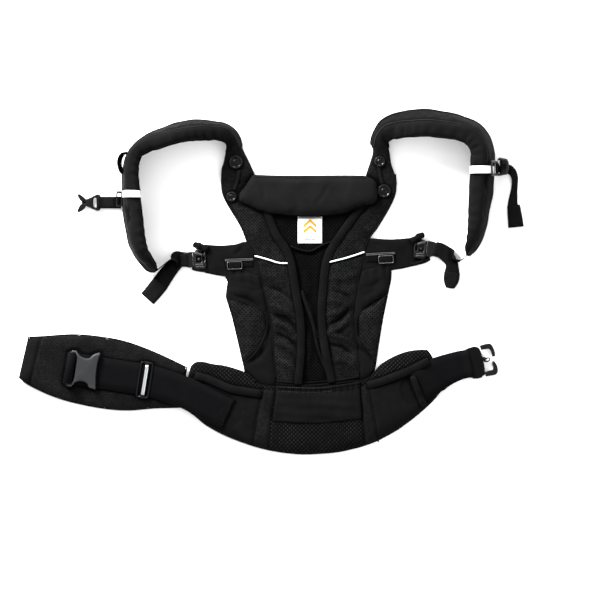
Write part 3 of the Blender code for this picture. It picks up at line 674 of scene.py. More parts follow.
def apply_modifiers(obj):
    """Keeps what an object's modifiers make of it as its mesh."""
    graph = bpy.context.evaluated_depsgraph_get()
    mesh = bpy.data.meshes.new_from_object(obj.evaluated_get(graph), depsgraph=graph)
    old = obj.data
    obj.modifiers.clear()
    obj.data = mesh
    bpy.data.meshes.remove(old)


def remesh(obj, size):
    """Covers an object with even square faces of a size in millimetres."""
    step = obj.modifiers.new("Remesh", "REMESH")
    step.mode = "VOXEL"
    step.voxel_size = size * MM
    apply_modifiers(obj)


def subdivide(obj):
    """Splits each face once, and smooths the result."""
    step = obj.modifiers.new("Subdivision", "SUBSURF")
    step.levels = 1
    step.render_levels = 1
    apply_modifiers(obj)
    obj.data.shade_smooth()


def pad(name, outline, low, high, look, shrink=1.2, cap=3.0, relief=None, round_off=5.0, seams=(),
        paint=None, ceiling=None):
    """A stuffed cushion over an outline: remeshed, blown up and subdivided, then shaped by relief."""
    edge = counterclockwise(smooth_line(outline, 6.0, closed=True))
    small = offset(edge, shrink)

    def height(points, far):
        return np.full(len(points), float(high))

    made = cloth_solid(name, small, 6.0, height, low, look, edge_round=round_off, rings=(1.0, 2.5, 4.5))
    remesh(made, VOXEL)
    simulate(made, 4.0, cap)
    subdivide(made)
    points = fit_outline(positions(made), edge)
    for seam in seams:
        snap(points, smooth_line(seam, 2.0))
    far = distance_to(points, edge, closed=True)[0]
    if relief:
        top = points[:, 2] > (low + high) / 2
        points[top, 2] += relief(points[top], far[top])
    if ceiling:
        points[:, 2] = np.minimum(points[:, 2], ceiling(points))
    points[:, 2] = np.maximum(points[:, 2], max(low, TABLE))
    set_positions(made, points)
    set_weave(made.data, points * MM)
    if paint:
        centers = np.array([tuple(p.center) for p in made.data.polygons]) / MM
        made.data.polygons.foreach_set("material_index", paint(centers).astype(np.int32))
    return made


def snap(points, line):
    """Draws the nearest points onto a seam in plan, so that two cloths meet in a clean line."""
    close = np.where(distance_to(points, line)[0] < SEAM_REACH)[0]
    for i in close:
        p = points[i, :2]
        best = None
        for a, b in zip(line[:-1], line[1:]):
            step = b - a
            t = np.clip((p - a) @ step / (step @ step), 0, 1)
            q = a + step * t
            far = np.hypot(*(p - q))
            if best is None or far < best[0]:
                best = (far, q)
        points[i, :2] = best[1]


def within(points, outline):
    """Which points in space lie over an outline."""
    return inside(points[:, :2], np.asarray(outline, float))


def press(points, path, depth, width):
    """How much a seam pulls the surface down near a path."""
    return -depth * np.exp(-((distance_to(points, path)[0] / width) ** 2))


def under_webbing(points, line, half, ceiling):
    """A ceiling over the stretch where webbing lies on a cushion."""
    return np.where(distance_to(points, line)[0] < half, ceiling, 1e3)


# ---------------------------------------------------------------- materials

MATERIALS = {}


class Graph:
    """Short ways to add nodes to one material."""

    def __init__(self, name):
        self.material = bpy.data.materials.new(name)
        self.material.use_nodes = True
        self.tree = self.material.node_tree
        self.shader = self.tree.nodes["Principled BSDF"]
        MATERIALS[name] = self.material

    def node(self, kind, inputs=(), **settings):
        made = self.tree.nodes.new(kind)
        for key, value in settings.items():
            setattr(made, key, value)
        for key, value in dict(inputs).items():
            self.wire(value, made.inputs[key])
        return made

    def wire(self, value, socket):
        if isinstance(value, bpy.types.NodeSocket):
            self.tree.links.new(value, socket)
        else:
            socket.default_value = value

    def math(self, operation, a, b):
        return self.node("ShaderNodeMath", {0: a, 1: b}, operation=operation).outputs[0]

    def span(self, value, low, high, to_low=0.0, to_high=1.0):
        made = self.node("ShaderNodeMapRange", {0: value, 1: low, 2: high, 3: to_low, 4: to_high})
        made.interpolation_type = "SMOOTHSTEP"
        return made.outputs[0]

    def noise(self, vector, scale, detail=2.0, roughness=0.5):
        made = self.node("ShaderNodeTexNoise", {"Vector": vector, "Scale": scale, "Detail": detail,
            "Roughness": roughness})
        return made.outputs[0]

    def cloth_place(self):
        return self.node("ShaderNodeAttribute", attribute_name="weave").outputs["Vector"]

    def object_place(self):
        return self.node("ShaderNodeTexCoord").outputs["Object"]

    def split(self, vector):
        return self.node("ShaderNodeSeparateXYZ", {0: vector}).outputs

    def color_mix(self, factor, dark, light):
        made = self.node("ShaderNodeMix", data_type="RGBA")
        self.wire(factor, made.inputs[0])
        made.inputs[6].default_value = (*dark, 1)
        made.inputs[7].default_value = (*light, 1)
        return made.outputs[2]

    def bump(self, height, distance, strength=1.0):
        made = self.node("ShaderNodeBump", {"Height": height, "Distance": distance * MM,
            "Strength": strength})
        self.wire(made.outputs[0], self.shader.inputs["Normal"])

    def painted_crease_shade(self, color):
        """The color with painted shade: darker where the cloth lies in a fold or beside a seam, as if in
        shadow.
        """
        painted_shade = self.node("ShaderNodeAttribute", attribute_name="painted_shade").outputs["Fac"]
        return self.node("ShaderNodeVectorMath", {0: color, 3: self.span(painted_shade, 0.0, 1.0, 1.0, CREASE_SHADE_KEEP)},
            operation="SCALE").outputs[0]

    def finish(self, color=None, roughness=0.8, metallic=0.0, sheen=0.0, coat=0.0, specular=0.5):
        if color is not None:
            value = color if isinstance(color, bpy.types.NodeSocket) else (*color, 1.0)
            self.wire(value, self.shader.inputs["Base Color"])
        self.wire(roughness, self.shader.inputs["Roughness"])
        self.shader.inputs["Metallic"].default_value = metallic
        self.shader.inputs["Sheen Weight"].default_value = sheen
        self.shader.inputs["Sheen Roughness"].default_value = 0.45
        self.shader.inputs["Coat Weight"].default_value = coat
        self.shader.inputs["Specular IOR Level"].default_value = specular


def triangle_wave(g, value, pitch):
    """0 on the lines of a grid and 1 half-way between them."""
    return g.math("MULTIPLY", g.math("PINGPONG", g.math("DIVIDE", value, pitch * MM), 0.5), 2.0)


def mesh_cloth(name, pitch, dark, light, depth, open_share=0.45, lattice=False):
    """Spacer mesh: raised dots between rows of holes, or a lattice round them, worn here and there."""
    g = Graph(name)
    place = g.cloth_place()
    x, y, _ = g.split(place)
    rows = [triangle_wave(g, g.math(way, x, y), pitch * DIAGONAL) for way in ("ADD", "SUBTRACT")]
    cell = g.math("MULTIPLY", *rows)
    if lattice:
        raised = g.span(cell, open_share + 0.35, open_share * 0.35)
    else:
        raised = g.span(cell, open_share * 0.1, open_share + 0.42)
    grain = g.noise(place, 900.0, 2.0, 0.6)
    cloud = g.noise(place, 30.0, 3.0, 0.6)
    speck = g.noise(place, 260.0, 1.0, 0.5)
    worn = g.math("MULTIPLY", g.span(cloud, 0.3, 0.7, 0.45, 1.0), g.span(speck, 0.3, 0.65, 0.4, 1.0))
    shade = g.math("MULTIPLY", raised, worn)
    g.bump(g.math("ADD", raised, g.math("MULTIPLY", grain, 0.35)), depth)
    g.finish(g.painted_crease_shade(g.color_mix(shade, dark, light)), g.span(raised, 0, 1, 0.95, 0.75), sheen=0.005,
        specular=0.025)


def plain_cloth(name, dark, light, roughness=0.8, sheen=0.005, pitch=0.55):
    """A close plain weave with a faint mottle."""
    g = Graph(name)
    place = g.cloth_place()
    x, y, _ = g.split(place)
    weave = g.math("MULTIPLY", triangle_wave(g, x, pitch), triangle_wave(g, y, pitch))
    cloud = g.noise(place, 34.0, 3.0, 0.6)
    slub = g.noise(g.node("ShaderNodeMapping", {0: place, 3: (60.0, 1400.0, 60.0)}).outputs[0], 1.0, 2.0)
    height = g.math("ADD", weave, g.math("MULTIPLY", slub, 0.7))
    g.bump(height, 0.12, 0.8)
    tone = g.math("ADD", g.math("MULTIPLY", cloud, 0.7), g.math("MULTIPLY", slub, 0.3))
    g.finish(g.painted_crease_shade(g.color_mix(g.span(tone, 0.3, 0.7), dark, light)), roughness, sheen=sheen,
        specular=0.03)


def ribbed_cloth(name, dark, light):
    """The straps' outer face: a knit with soft ribs across the strap."""
    g = Graph(name)
    place = g.cloth_place()
    x, y, _ = g.split(place)
    rib = triangle_wave(g, x, 3.0)
    knit = triangle_wave(g, g.math("ADD", y, g.math("MULTIPLY", x, 0.5)), 1.1)
    cloud = g.noise(place, 40.0, 3.0, 0.6)
    height = g.math("ADD", g.math("MULTIPLY", rib, 0.6), g.math("MULTIPLY", knit, 0.4))
    g.bump(height, 0.35, 0.7)
    tone = g.math("MULTIPLY", g.span(height, 0.2, 0.9), g.span(cloud, 0.3, 0.7, 0.6, 1.0))
    g.finish(g.painted_crease_shade(g.color_mix(tone, dark, light)), 0.85, sheen=0.005, specular=0.03)


def webbing_cloth(name, dark, light):
    """Flat woven webbing: fine ribs across and a soft herringbone along."""
    g = Graph(name)
    place = g.cloth_place()
    x, y, _ = g.split(place)
    zig = g.math("PINGPONG", y, 0.0022)
    rib = triangle_wave(g, g.math("ADD", x, zig), 0.95)
    rows = triangle_wave(g, y, 2.2)
    cloud = g.noise(place, 60.0, 2.0, 0.6)
    height = g.math("ADD", g.math("MULTIPLY", rib, 0.65), g.math("MULTIPLY", rows, 0.35))
    g.bump(height, 0.2, 0.8)
    tone = g.math("MULTIPLY", g.span(height, 0.0, 1.0, 0.35, 1.0), g.span(cloud, 0.3, 0.7, 0.7, 1.0))
    g.finish(g.painted_crease_shade(g.color_mix(tone, dark, light)), 0.7, sheen=0.004, specular=0.03)


def moulded(name, color, roughness, specular):
    """Moulded plastic: fine spark texture, rougher on sharp edges and paler there, the paler tone partly wear
    and partly a painted edge highlight.
    """
    g = Graph(name)
    place = g.object_place()
    grain = g.noise(place, 2600.0, 2.0, 0.6)
    smear = g.noise(place, 55.0, 3.0, 0.6)
    # painted edge highlight, partly wear: sharp edges take a paler colour
    edge = g.span(g.node("ShaderNodeNewGeometry").outputs["Pointiness"], 0.51, 0.58)
    worn = tuple(min(1.0, c * 2.0 + 0.006) for c in color)
    g.bump(grain, 0.035, 0.5)
    rough = g.math("ADD", g.span(smear, 0.3, 0.7, roughness - 0.06, roughness + 0.08),
        g.math("MULTIPLY", edge, 0.08))
    g.finish(g.color_mix(edge, color, worn), rough, specular=specular)


def metal(name, color, roughness=0.26):
    """Metal, brushed along one way."""
    g = Graph(name)
    place = g.object_place()
    stretched = g.node("ShaderNodeMapping", {0: place, 3: (300.0, 3000.0, 300.0)}).outputs[0]
    brushed = g.noise(stretched, 1.0, 3.0, 0.6)
    g.bump(brushed, 0.03, 0.4)
    g.finish(color, g.span(brushed, 0.3, 0.7, roughness - 0.06, roughness + 0.12), metallic=1.0)


def reflective(name, color):
    """White tape with a fine honeycomb of glass beads."""
    g = Graph(name)
    place = g.cloth_place()
    x, y, _ = g.split(place)
    cell = g.math("MINIMUM", triangle_wave(g, g.math("ADD", x, y), 1.8),
        triangle_wave(g, g.math("SUBTRACT", x, y), 1.8))
    g.bump(g.span(cell, 0.0, 0.3), 0.08, 0.6)
    g.finish(g.color_mix(g.span(cell, 0.05, 0.3), tuple(c * 0.82 for c in color), color), 0.38, coat=0.2)


def make_materials():
    """Every look, from the dark and the light tone of its pattern."""
    mesh_cloth("mesh_coarse", 4.6, (0.0010, 0.0010, 0.00105), (0.0150, 0.0150, 0.0155), 0.9)
    mesh_cloth("mesh_lumbar", 3.7, (0.0011, 0.0011, 0.0012), (0.0058, 0.0058, 0.0060), 0.7, lattice=True)
    mesh_cloth("mesh_leaf", 4.4, (0.0003, 0.0003, 0.00035), (0.0084, 0.0084, 0.0087), 0.7, lattice=True)
    mesh_cloth("mesh_fine", 2.9, (0.0008, 0.0008, 0.00085), (0.0062, 0.0062, 0.0064), 0.5, lattice=True)
    mesh_cloth("mesh_front", 3.7, (0.0002, 0.0002, 0.00025), (0.0074, 0.0074, 0.0077), 0.7, lattice=True)
    mesh_cloth("mesh_strap", 3.0, (0.001, 0.001, 0.00105), (0.006, 0.006, 0.0062), 0.4, lattice=True)
    mesh_cloth("mesh_deep", 3.9, (0.0003, 0.0003, 0.00035), (0.0060, 0.0060, 0.0063), 0.6, 0.5)
    ribbed_cloth("strap_ribbed", (0.0022, 0.0022, 0.0023), (0.0056, 0.0056, 0.0058))
    plain_cloth("cloth_plain", (0.0014, 0.0014, 0.0015), (0.0027, 0.0027, 0.0029))
    plain_cloth("cloth_head", (0.0030, 0.0030, 0.0032), (0.0049, 0.0049, 0.0052), 0.78)
    plain_cloth("cloth_tape", (0.0012, 0.0012, 0.0013), (0.0024, 0.0024, 0.0026), 0.75, pitch=0.4)
    plain_cloth("cloth_piping", (0.0075, 0.0075, 0.0078), (0.013, 0.013, 0.0135), 0.7, pitch=0.4)
    plain_cloth("cloth_rail", (0.06, 0.06, 0.061), (0.095, 0.095, 0.096), 0.6, pitch=0.4)
    webbing_cloth("webbing", (0.0003, 0.0003, 0.00042), (0.0013, 0.0013, 0.0017))
    webbing_cloth("webbing_strap", (0.0010, 0.0010, 0.0011), (0.0046, 0.0046, 0.0049))
    moulded("plastic_black", (0.0010, 0.0010, 0.0011), 0.28, 0.06)
    # gray plastic, and the same light tone used as a painted highlight on the right chest clip and on the side
    # sockets' strips
    moulded("plastic_gray", (0.0105, 0.011, 0.0118), 0.4, 0.2)
    moulded("rubber_black", (0.0012, 0.0012, 0.0012), 0.6, 0.05)
    moulded("plastic_lock", (0.0022, 0.0022, 0.0023), 0.25, 0.14)
    moulded("button_black", (0.0012, 0.0012, 0.0013), 0.2, 0.1)
    metal("metal_satin", (0.42, 0.43, 0.44))
    metal("metal_dull", (0.10, 0.102, 0.105))
    metal("metal_dark", (0.012, 0.012, 0.0125), 0.3)
    reflective("reflective_white", (0.86, 0.87, 0.87))
    plain_cloth("label_white", (0.60, 0.585, 0.56), (0.68, 0.665, 0.64), 0.6, 0.02, 0.3)
    plain_cloth("label_mark", (0.52, 0.15, 0.008), (0.6, 0.2, 0.014), 0.6, 0.02, 0.3)
    plain_cloth("label_line", (0.12, 0.115, 0.11), (0.17, 0.165, 0.16), 0.6, 0.02, 0.3)
    plain_cloth("thread", (0.0028, 0.0028, 0.003), (0.005, 0.005, 0.0053), 0.6, 0.02, 0.3)
    plain_cloth("thread_light", (0.012, 0.012, 0.0125), (0.026, 0.026, 0.0265), 0.7, 0.01, 0.3)


# ---------------------------------------------------------------- hardware from the CAD shapes


def refit(node, look, width):
    """A CAD node's shape with its edges rounded as moulding leaves them."""
    source = frame["nodes"][node]
    mesh = source.data.copy()
    bm = bmesh.new()
    bm.from_mesh(mesh)
    bmesh.ops.remove_doubles(bm, verts=bm.verts, dist=0.00001)
    bmesh.ops.recalc_face_normals(bm, faces=bm.faces)
    bm.to_mesh(mesh)
    bm.free()
    mesh.materials.clear()
    for name in [a.name for a in mesh.attributes if a.name.startswith("UV")]:
        mesh.attributes.remove(mesh.attributes[name])
    made = link(f"{node}_shape", mesh, look)
    bevel = made.modifiers.new("Bevel", "BEVEL")
    bevel.width = width * MM
    bevel.segments = 3
    bevel.limit_method = "ANGLE"
    bevel.angle_limit = radians(35)
    bevel.use_clamp_overlap = True
    apply_modifiers(made)
    made.data.shade_smooth()
    made.data.set_sharp_from_angle(angle=radians(50))
    set_weave(made.data, [tuple(v.co) for v in made.data.vertices])
    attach(made, source["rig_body"])
    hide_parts(node)


# ---------------------------------------------------------------- the belt and lumbar pad


def build_belt():
    """The padded waist belt with its pocket, seams and the band on its left top edge."""
    def relief(points, far):
        rise = 0.8 * ripple(points, 42, 3.0) + 0.4 * ripple(points, 14, 8.0)
        for seam in BELT_SEAMS:
            rise += press(points, seam, 2.0, 2.8)
        rise += press(points, [(-16, -171), (60, -175), (155, -163)], 1.8, 3)
        rise += ridges(points, [((20, -240), (60, -262), 0.8, 6), ((80, -236), (130, -258), 0.8, 6),
            ((-100, -200), (-60, -236), 0.6, 8), ((190, -180), (230, -210), 0.6, 8),
            ((20, -232), (130, -226), -0.9, 4)])
        return rise

    def paint(centers):
        found = np.zeros(len(centers), int)
        for value, areas in ((2, BELT_FINE), (1, BELT_PLAIN)):
            for area in areas:
                found[within(centers, area)] = value
        return np.where(centers[:, 2] > 5, found, 0)

    def ceiling(points):
        left = under_webbing(points, [(-150, -171), (-71, -211)], 25, 13.6)
        return np.minimum(left, under_webbing(points, [(232, -172), (256, -157.5), (276, -145)], 26, 13.4))

    belt = pad("belt_pad", BELT, TABLE, 12.2, ["mesh_coarse", "cloth_plain", "mesh_fine"],
        relief=relief, cap=2.4, seams=BELT_SEAMS, paint=paint, ceiling=ceiling)
    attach(belt, "carrier")
    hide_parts("belt_cover", "belt_foam", "belt_facing")
    top = Surface(belt)

    pocket = applique("belt_pocket", POCKET, top, 1.4, "cloth_plain", "carrier",
        relief=lambda p, far: pocket_waves(p) * np.clip(far / 5, 0, 1))
    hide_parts("belt_pocket_panel")
    for side, seam in (("left", BELT_SEAMS[0]), ("right", BELT_SEAMS[2])):
        cord(f"belt_seam_{side}", on_surface(smooth_line(seam, 3), top, 0.0), 1.2, flat=0.7)
    tape_on("belt_band_left", smooth_line(BAND_LEFT, 3), 12.5, 4.2, top, "cloth_plain", taper=True)
    edge_cord("belt_edge_seam", BELT, 5.4, "carrier")


def pocket_waves(points):
    """Gathers under the pocket's elastic edge, fading downward."""
    down = np.clip((-178 - points[:, 1]) / 44, 0, 1)
    fine = np.sin(points[:, 0] / 1.5 + 1.6 * np.sin(points[:, 0] / 11)) * np.exp(-down * 9)
    long = 0.35 * np.sin(points[:, 1] / 2.6 + 0.02 * points[:, 0])
    return 0.5 * fine + long + 0.5 * ripple(points, 30, 5.0)


def finish_belt():
    """What lies over the belt and over the webbing on its right end: band, keeper and stitching."""
    over = Surface("belt_pad", "waist_webbing_right_band")
    tape_on("belt_band_right", smooth_line(BAND_RIGHT, 3), 12.5, 4.2, over, "cloth_plain", taper=True)
    tube = smooth_line([(225.2, -151), (233.6, -173), (243.8, -198.2)], 3)
    tape_on("belt_keeper", tube, 10, 5.4, over, "cloth_plain", taper=True, rise=0.8)
    elastic = smooth_line([(8, -171.5), (40, -173.2), (75, -173.6), (108, -170), (141, -165)], 0.75)
    whole = Surface("belt_pad", "belt_pocket")
    wave = [(1.0, 1.0 + 0.4 * sin(0.75 * i * 2 * pi / 3.0)) for i in range(len(elastic))]
    section = [(-5.2, -0.3), (5.2, -0.3), (4.9, 1.0), (3.4, 1.8), (1.8, 1.5), (0, 0.9), (-1.8, 1.5),
        (-3.4, 1.8), (-4.9, 1.0)]
    sweep("belt_pocket_elastic", on_surface(elastic, whole, 0.1), section, "cloth_tape", "carrier",
        scales=wave)
    raised = Surface("belt_pad", "belt_band_left", "belt_band_right", "belt_keeper", "belt_pocket",
        "belt_pocket_elastic")
    rows = [offset(smooth_line(line, 4), shift, closed=False)
        for line, shift in ((BAND_LEFT, -5.0), (BAND_RIGHT, -5.0), (BELT_SEAMS[0], -3.4),
        (BELT_SEAMS[2], 3.4))]
    rows += [smooth_line(line, 4) for line in ([(5, -219), (71, -222), (140, -215)],
        [(5, -216), (71, -219), (140, -212)], [(12, -182), (6, -218)], [(137, -176), (140, -215)],
        [(230, -155), (247, -195)])]
    stitches("belt_stitching", rows, raised, "carrier")
    dots = [offset(elastic[4:-60], shift, closed=False) for shift in (-3.4, 3.4)]
    stitches("belt_gather_thread", dots, raised, "carrier", look="thread_light", length=1.8, gap=1.6,
        thick=1.1)


def tape_on(name, path, width, thick, surface, look, rise=0.2, taper=False):
    """A stitched tube of tape that lies on a surface."""
    half = width / 2
    section = [(-half, -0.3), (half, -0.3), (half, thick * 0.35), (half * 0.82, thick * 0.72),
        (half * 0.5, thick * 0.94), (0, thick), (-half * 0.5, thick * 0.94), (-half * 0.82, thick * 0.72),
        (-half, thick * 0.35)]
    line = on_surface(path, surface, rise, CALM)
    count = len(line)
    scales = None
    if taper:
        ends = [min(1.0, 0.45 + 0.28 * min(i, count - 1 - i)) for i in range(count)]
        scales = [(0.75 + 0.25 * e, e) for e in ends]
    return sweep(name, line, section, look, "carrier", scales=scales)


def build_lumbar():
    """The lumbar pad on the left end of the waist webbing."""
    end = [(-366, -78), (-389, -172)]

    def relief(points, far):
        rise = 0.8 * ripple(points, 36, 9.0) + 0.3 * ripple(points, 13, 2.0)
        rise += press(points, end, 2.4, 2.6)
        return rise + ridges(points, [((-350, -100), (-240, -110), 0.7, 9),
            ((-300, -180), (-190, -190), 0.8, 8), ((-372, -100), (-386, -150), 0.8, 5),
            ((-350, -176), (-270, -192), -0.6, 5)])

    def paint(centers):
        return within(centers, [(-366, -60), (-389, -180), (-430, -180), (-430, -60)]).astype(int)

    made = pad("lumbar_pad_body", LUMBAR, TABLE, 10.2, ["mesh_lumbar", "cloth_plain"],
        relief=relief, cap=2.2, seams=[end], paint=paint, ceiling=lambda points: under_webbing(points,
        [(-335, -136), (-202, -157), (-134, -178)], 27, 12.2))
    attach(made, "lumbar_pad")
    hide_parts("lumbar_cover", "lumbar_foam", "lumbar_facing")
    top = Surface(made)
    seam = on_surface(smooth_line([(-369, -91), (-387, -162)], 3), top, -0.2)
    cord("lumbar_end_seam", seam, 1.0, "lumbar_pad")
    edge_cord("lumbar_edge_seam", LUMBAR, 4.8, "lumbar_pad")
    row = offset(counterclockwise(smooth_line(LUMBAR, 4, closed=True)), 6.5)
    row = row[distance_to(row, [(-335, -136), (-202, -157), (-120, -182)])[0] > 28]
    start = int(np.argmax(np.linalg.norm(row - np.roll(row, 1, axis=0), axis=1)))
    stitches("lumbar_stitching", [np.roll(row, -start, axis=0), np.array([(-371.5, -92), (-390.5, -160)])],
        top, "lumbar_pad")


# ---------------------------------------------------------------- the body panel


def build_side_panels():
    """The leg panels, each with a padded leaf of mesh in its outer half."""
    for side, sign, outline, leaf, folds, hem in (("left", 1, SIDE_LEFT, LEAF_LEFT, SIDE_FOLDS_LEFT,
            HEM_LEFT), ("right", -1, SIDE_RIGHT, LEAF_RIGHT, SIDE_FOLDS_RIGHT, HEM_RIGHT)):
        leaf_edge = smooth_line(leaf, 3, closed=True)
        rim = counterclockwise(smooth_line(outline, 6, closed=True))

        def relief(points, far, leaf_edge=leaf_edge, folds=folds):
            within_leaf = inside(points[:, :2], leaf_edge)
            depth = distance_to(points, leaf_edge, closed=True)[0]
            swell = np.where(within_leaf, -1.2 + 5.0 * (1 - np.exp(-depth / 8)),
                0.9 * np.exp(-((depth / 6) ** 2)) - 0.8)
            return swell + ridges(points, folds) + 0.7 * ripple(points, 16, 2.0)

        def paint(centers, leaf_edge=leaf_edge):
            return np.where(inside(centers[:, :2], leaf_edge), 0, 1)

        made = pad(f"side_panel_{side}_pad", outline, TABLE, 6.0, ["mesh_leaf", "cloth_plain"],
            relief=relief, cap=1.6, shrink=0.6, round_off=3.5, seams=[leaf + leaf[:1]], paint=paint)
        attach(made, "carrier")
        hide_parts(f"side_panel_{side}")
        top = Surface(made)
        inner = leaf_edge[inside(leaf_edge, rim) & (distance_to(leaf_edge, rim, closed=True)[0] > 2.5)]
        start = int(np.argmax(np.linalg.norm(np.diff(np.vstack([inner, inner[:1]]), axis=0), axis=1))) + 1
        inner = np.roll(inner, -start, axis=0)
        cord(f"side_leaf_seam_{side}", on_surface(inner, top, 0.1, CALM), 1.5)
        cord(f"side_hem_{side}", on_surface(smooth_line(hem, 3), top, -0.3), 1.3)
        row = offset(smooth_line(hem, 4), 5.0 * sign, closed=False)
        stitches(f"side_stitching_{side}", [row], top, "carrier")


def tapes():
    """The panel's two tapes, and the outline between them."""
    left, right = smooth_line(TAPE_LEFT, 6), smooth_line(TAPE_RIGHT, 6)
    return left, right, np.vstack([left, right[::-1]])


def panel_height(points, far):
    """The lie of the front panel: a trough between the tapes, soft folds and a little puff."""
    left, right, middle = tapes()
    between = inside(points, middle)
    to_tape = np.minimum(distance_to(points, left)[0], distance_to(points, right)[0])
    height = 5.2 + 1.8 * (1 - np.exp(-far / 14))
    height += np.where(between, -2.6 * (1 - np.exp(-to_tape / 7)),
        1.8 * np.exp(-(((to_tape - 16) / 12) ** 2)))
    above = between & (points[:, 1] > np.interp(points[:, 0], *np.array(POCKET_MOUTH).T))
    height += np.where(above, 2.6 * (1 - np.exp(-to_tape / 5)), 0)
    height += 1.45 * ridges(points, FRONT_FOLDS) * np.clip(far / 8, 0, 1)
    for line in ([(-27, 38), (12, 27), (28, 27)], [(92, 28), (149, 44)]):
        height += press(points, line, 1.6, 3)
    height += press(points, smooth_line([(x, y - 4) for x, y in POCKET_MOUTH], 4), 1.8, 3.5)
    yoke_seams = [(-70, 128), (-48, 84), (-34, 62)], [(186, 116), (164, 82)]
    height += sum(press(points, line, 0.8, 3) for line in yoke_seams)
    calm = np.clip((points[:, 1] - 60) / 40, 0, 1)
    height += (0.7 - 0.3 * calm) * ripple(points, 13, 7.0) + 0.6 * ripple(points, 40, 1.0)
    return np.clip(height, 1.8, 12.5)


def build_front_panel():
    """The body panel: mesh between tapes, piping, the pocket's mouth and the stitching."""
    def region(centers):
        return inside(centers[:, :2], tapes()[2])

    panel = cloth_solid("front_panel", PANEL, 2.6, panel_height, TABLE, ["mesh_front", "mesh_deep"],
        "carrier", 4.0, (0.6, 1.6, 3.2), region=region)
    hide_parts("front_panel_base", "front_mesh_left", "front_mesh_right", "center_mesh")
    top = Surface(panel)
    for side, line in (("left", TAPE_LEFT), ("right", TAPE_RIGHT)):
        tape_on(f"front_tape_{side}", smooth_line(line, 3), 13, 4.0, top, "cloth_tape", rise=-0.4)
    inner = smooth_line([(48, -14), (54, -32), (66, -66), (74, -104), (87, -138), (95, -158)], 3)
    tape_on("front_inner_fold", inner, 5.5, 2.6, top, "cloth_plain", rise=-0.3, taper=True)
    for side, line in (("left", [(-28.5, 41.7), (-6, 35.5), (12, 30), (29, 29.5)]),
            ("right", [(90, 30.5), (120, 38), (148.5, 47.3)])):
        path = on_surface(smooth_line(line, 2), top, 1.0, CALM)
        sweep(f"reflective_piping_{side}", path, round_section(1.15, 12), "reflective_white", "carrier")
    for side, line, sign in (("left", [(-76, 137), (-48, 86), *SEAM_LEFT], 1),
            ("right", [(191, 124), (168, 84), *SEAM_RIGHT], -1)):
        path = on_surface(offset(smooth_line(line, 3), 1.2 * sign, closed=False), top, 0.0)
        cord(f"front_edge_seam_{side}", path, 1.5)
    mouth = smooth_line(POCKET_MOUTH, 3)
    lip = np.column_stack([mouth, smooth_values(top.top(offset(mouth, 3, closed=False)), CALM) - 0.2])
    sweep("pocket_mouth_binding", lip, round_section(1.5, 10, 0.9), "cloth_plain", "carrier")
    tops = Surface(panel, "front_tape_left", "front_tape_right")
    rows = []
    for line in (TAPE_LEFT, TAPE_RIGHT):
        for shift in (-4.9, 4.9):
            rows.append(offset(smooth_line(line, 4), shift, closed=False))
    for line, sign in ((SEAM_LEFT, 1), (SEAM_RIGHT, -1)):
        rows.append(offset(smooth_line(line, 4), 5.2 * sign, closed=False))
    stitches("front_stitching", rows, tops, "carrier")
    return tops


def lower_hem():
    """The seam where the front panel is sewn to the top of the belt, with its doubled edge."""
    over = Surface("front_panel", "belt_pad")
    for k, line in enumerate(([(-29, -158.5), (4, -163.5), (52, -167), (104, -163), (146, -158)],
            [(9, -159.5), (30, -161.5), (52, -162), (104, -158), (139, -152.5)])):
        cord(f"front_lower_seam_{k}", on_surface(smooth_line(line, 3), over, 0.0, 2 * CALM), 2.0 - 0.5 * k)


def build_wings():
    """The wings that carry the side buckles, with the rolled and the flat ends beside each buckle."""
    def height(points, far):
        lobe = np.clip((points[:, 0] - 228) / 5, 0, 1)
        return (4.6 + 1.4 * ridges(points, WING_FOLDS) + 0.5 * ripple(points, 20, 4.0)) * (1 - 0.55 * lobe)

    for side, outline in (("left", WING_LEFT), ("right", WING_RIGHT)):
        wing = cloth_solid(f"wing_{side}_cloth", outline, 3.0, height, TABLE, "cloth_plain", "carrier", 2.5,
            (0.5, 1.4))
        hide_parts(f"wing_{side}")
        top = Surface(wing)
        edge = smooth_line(outline, 4, closed=True)
        stitches(f"wing_stitching_{side}", [offset(counterclockwise(edge), 3.4)], top, "carrier")
    rolls = {"wing_roll_left": [(-103, 52, 5.4), (-112, 55.5, 6.2), (-121, 58.5, 6.4), (-124.5, 60.5, 5.4)],
        "wing_roll_right": [(224, 64, 5.6), (232, 69.5, 6.4), (240, 74, 6.4), (244.5, 75, 5.4)],
        "wing_lobe_left": [(-102, 17.6, 3.4), (-110, 18.5, 3.6), (-119, 19.8, 3.6), (-127, 21.8, 3.0)],
        "wing_lobe_right": [(223, 27.4, 3.4), (234, 29.6, 3.6), (244, 33.2, 3.4), (252, 37, 2.8)]}
    for name, line in rolls.items():
        path = smooth_line(line, 1.5, sharp=NO_CORNERS)
        count = len(path)
        knob = "roll" in name
        size = (1.0, 1.0) if knob else (0.62, 0.5)
        scales = []
        for i in range(count):
            end = min(1.0, 0.45 + 0.4 * (count - 1 - i))
            bulge = 1.0 + (0.12 * sin(i * 0.9) if knob else 0)
            scales.append((size[0] * end * bulge, size[1] * end * bulge))
        sweep(name, path, round_section(5.4, 14, 0.9), "cloth_tape", "carrier",
            scales=scales)


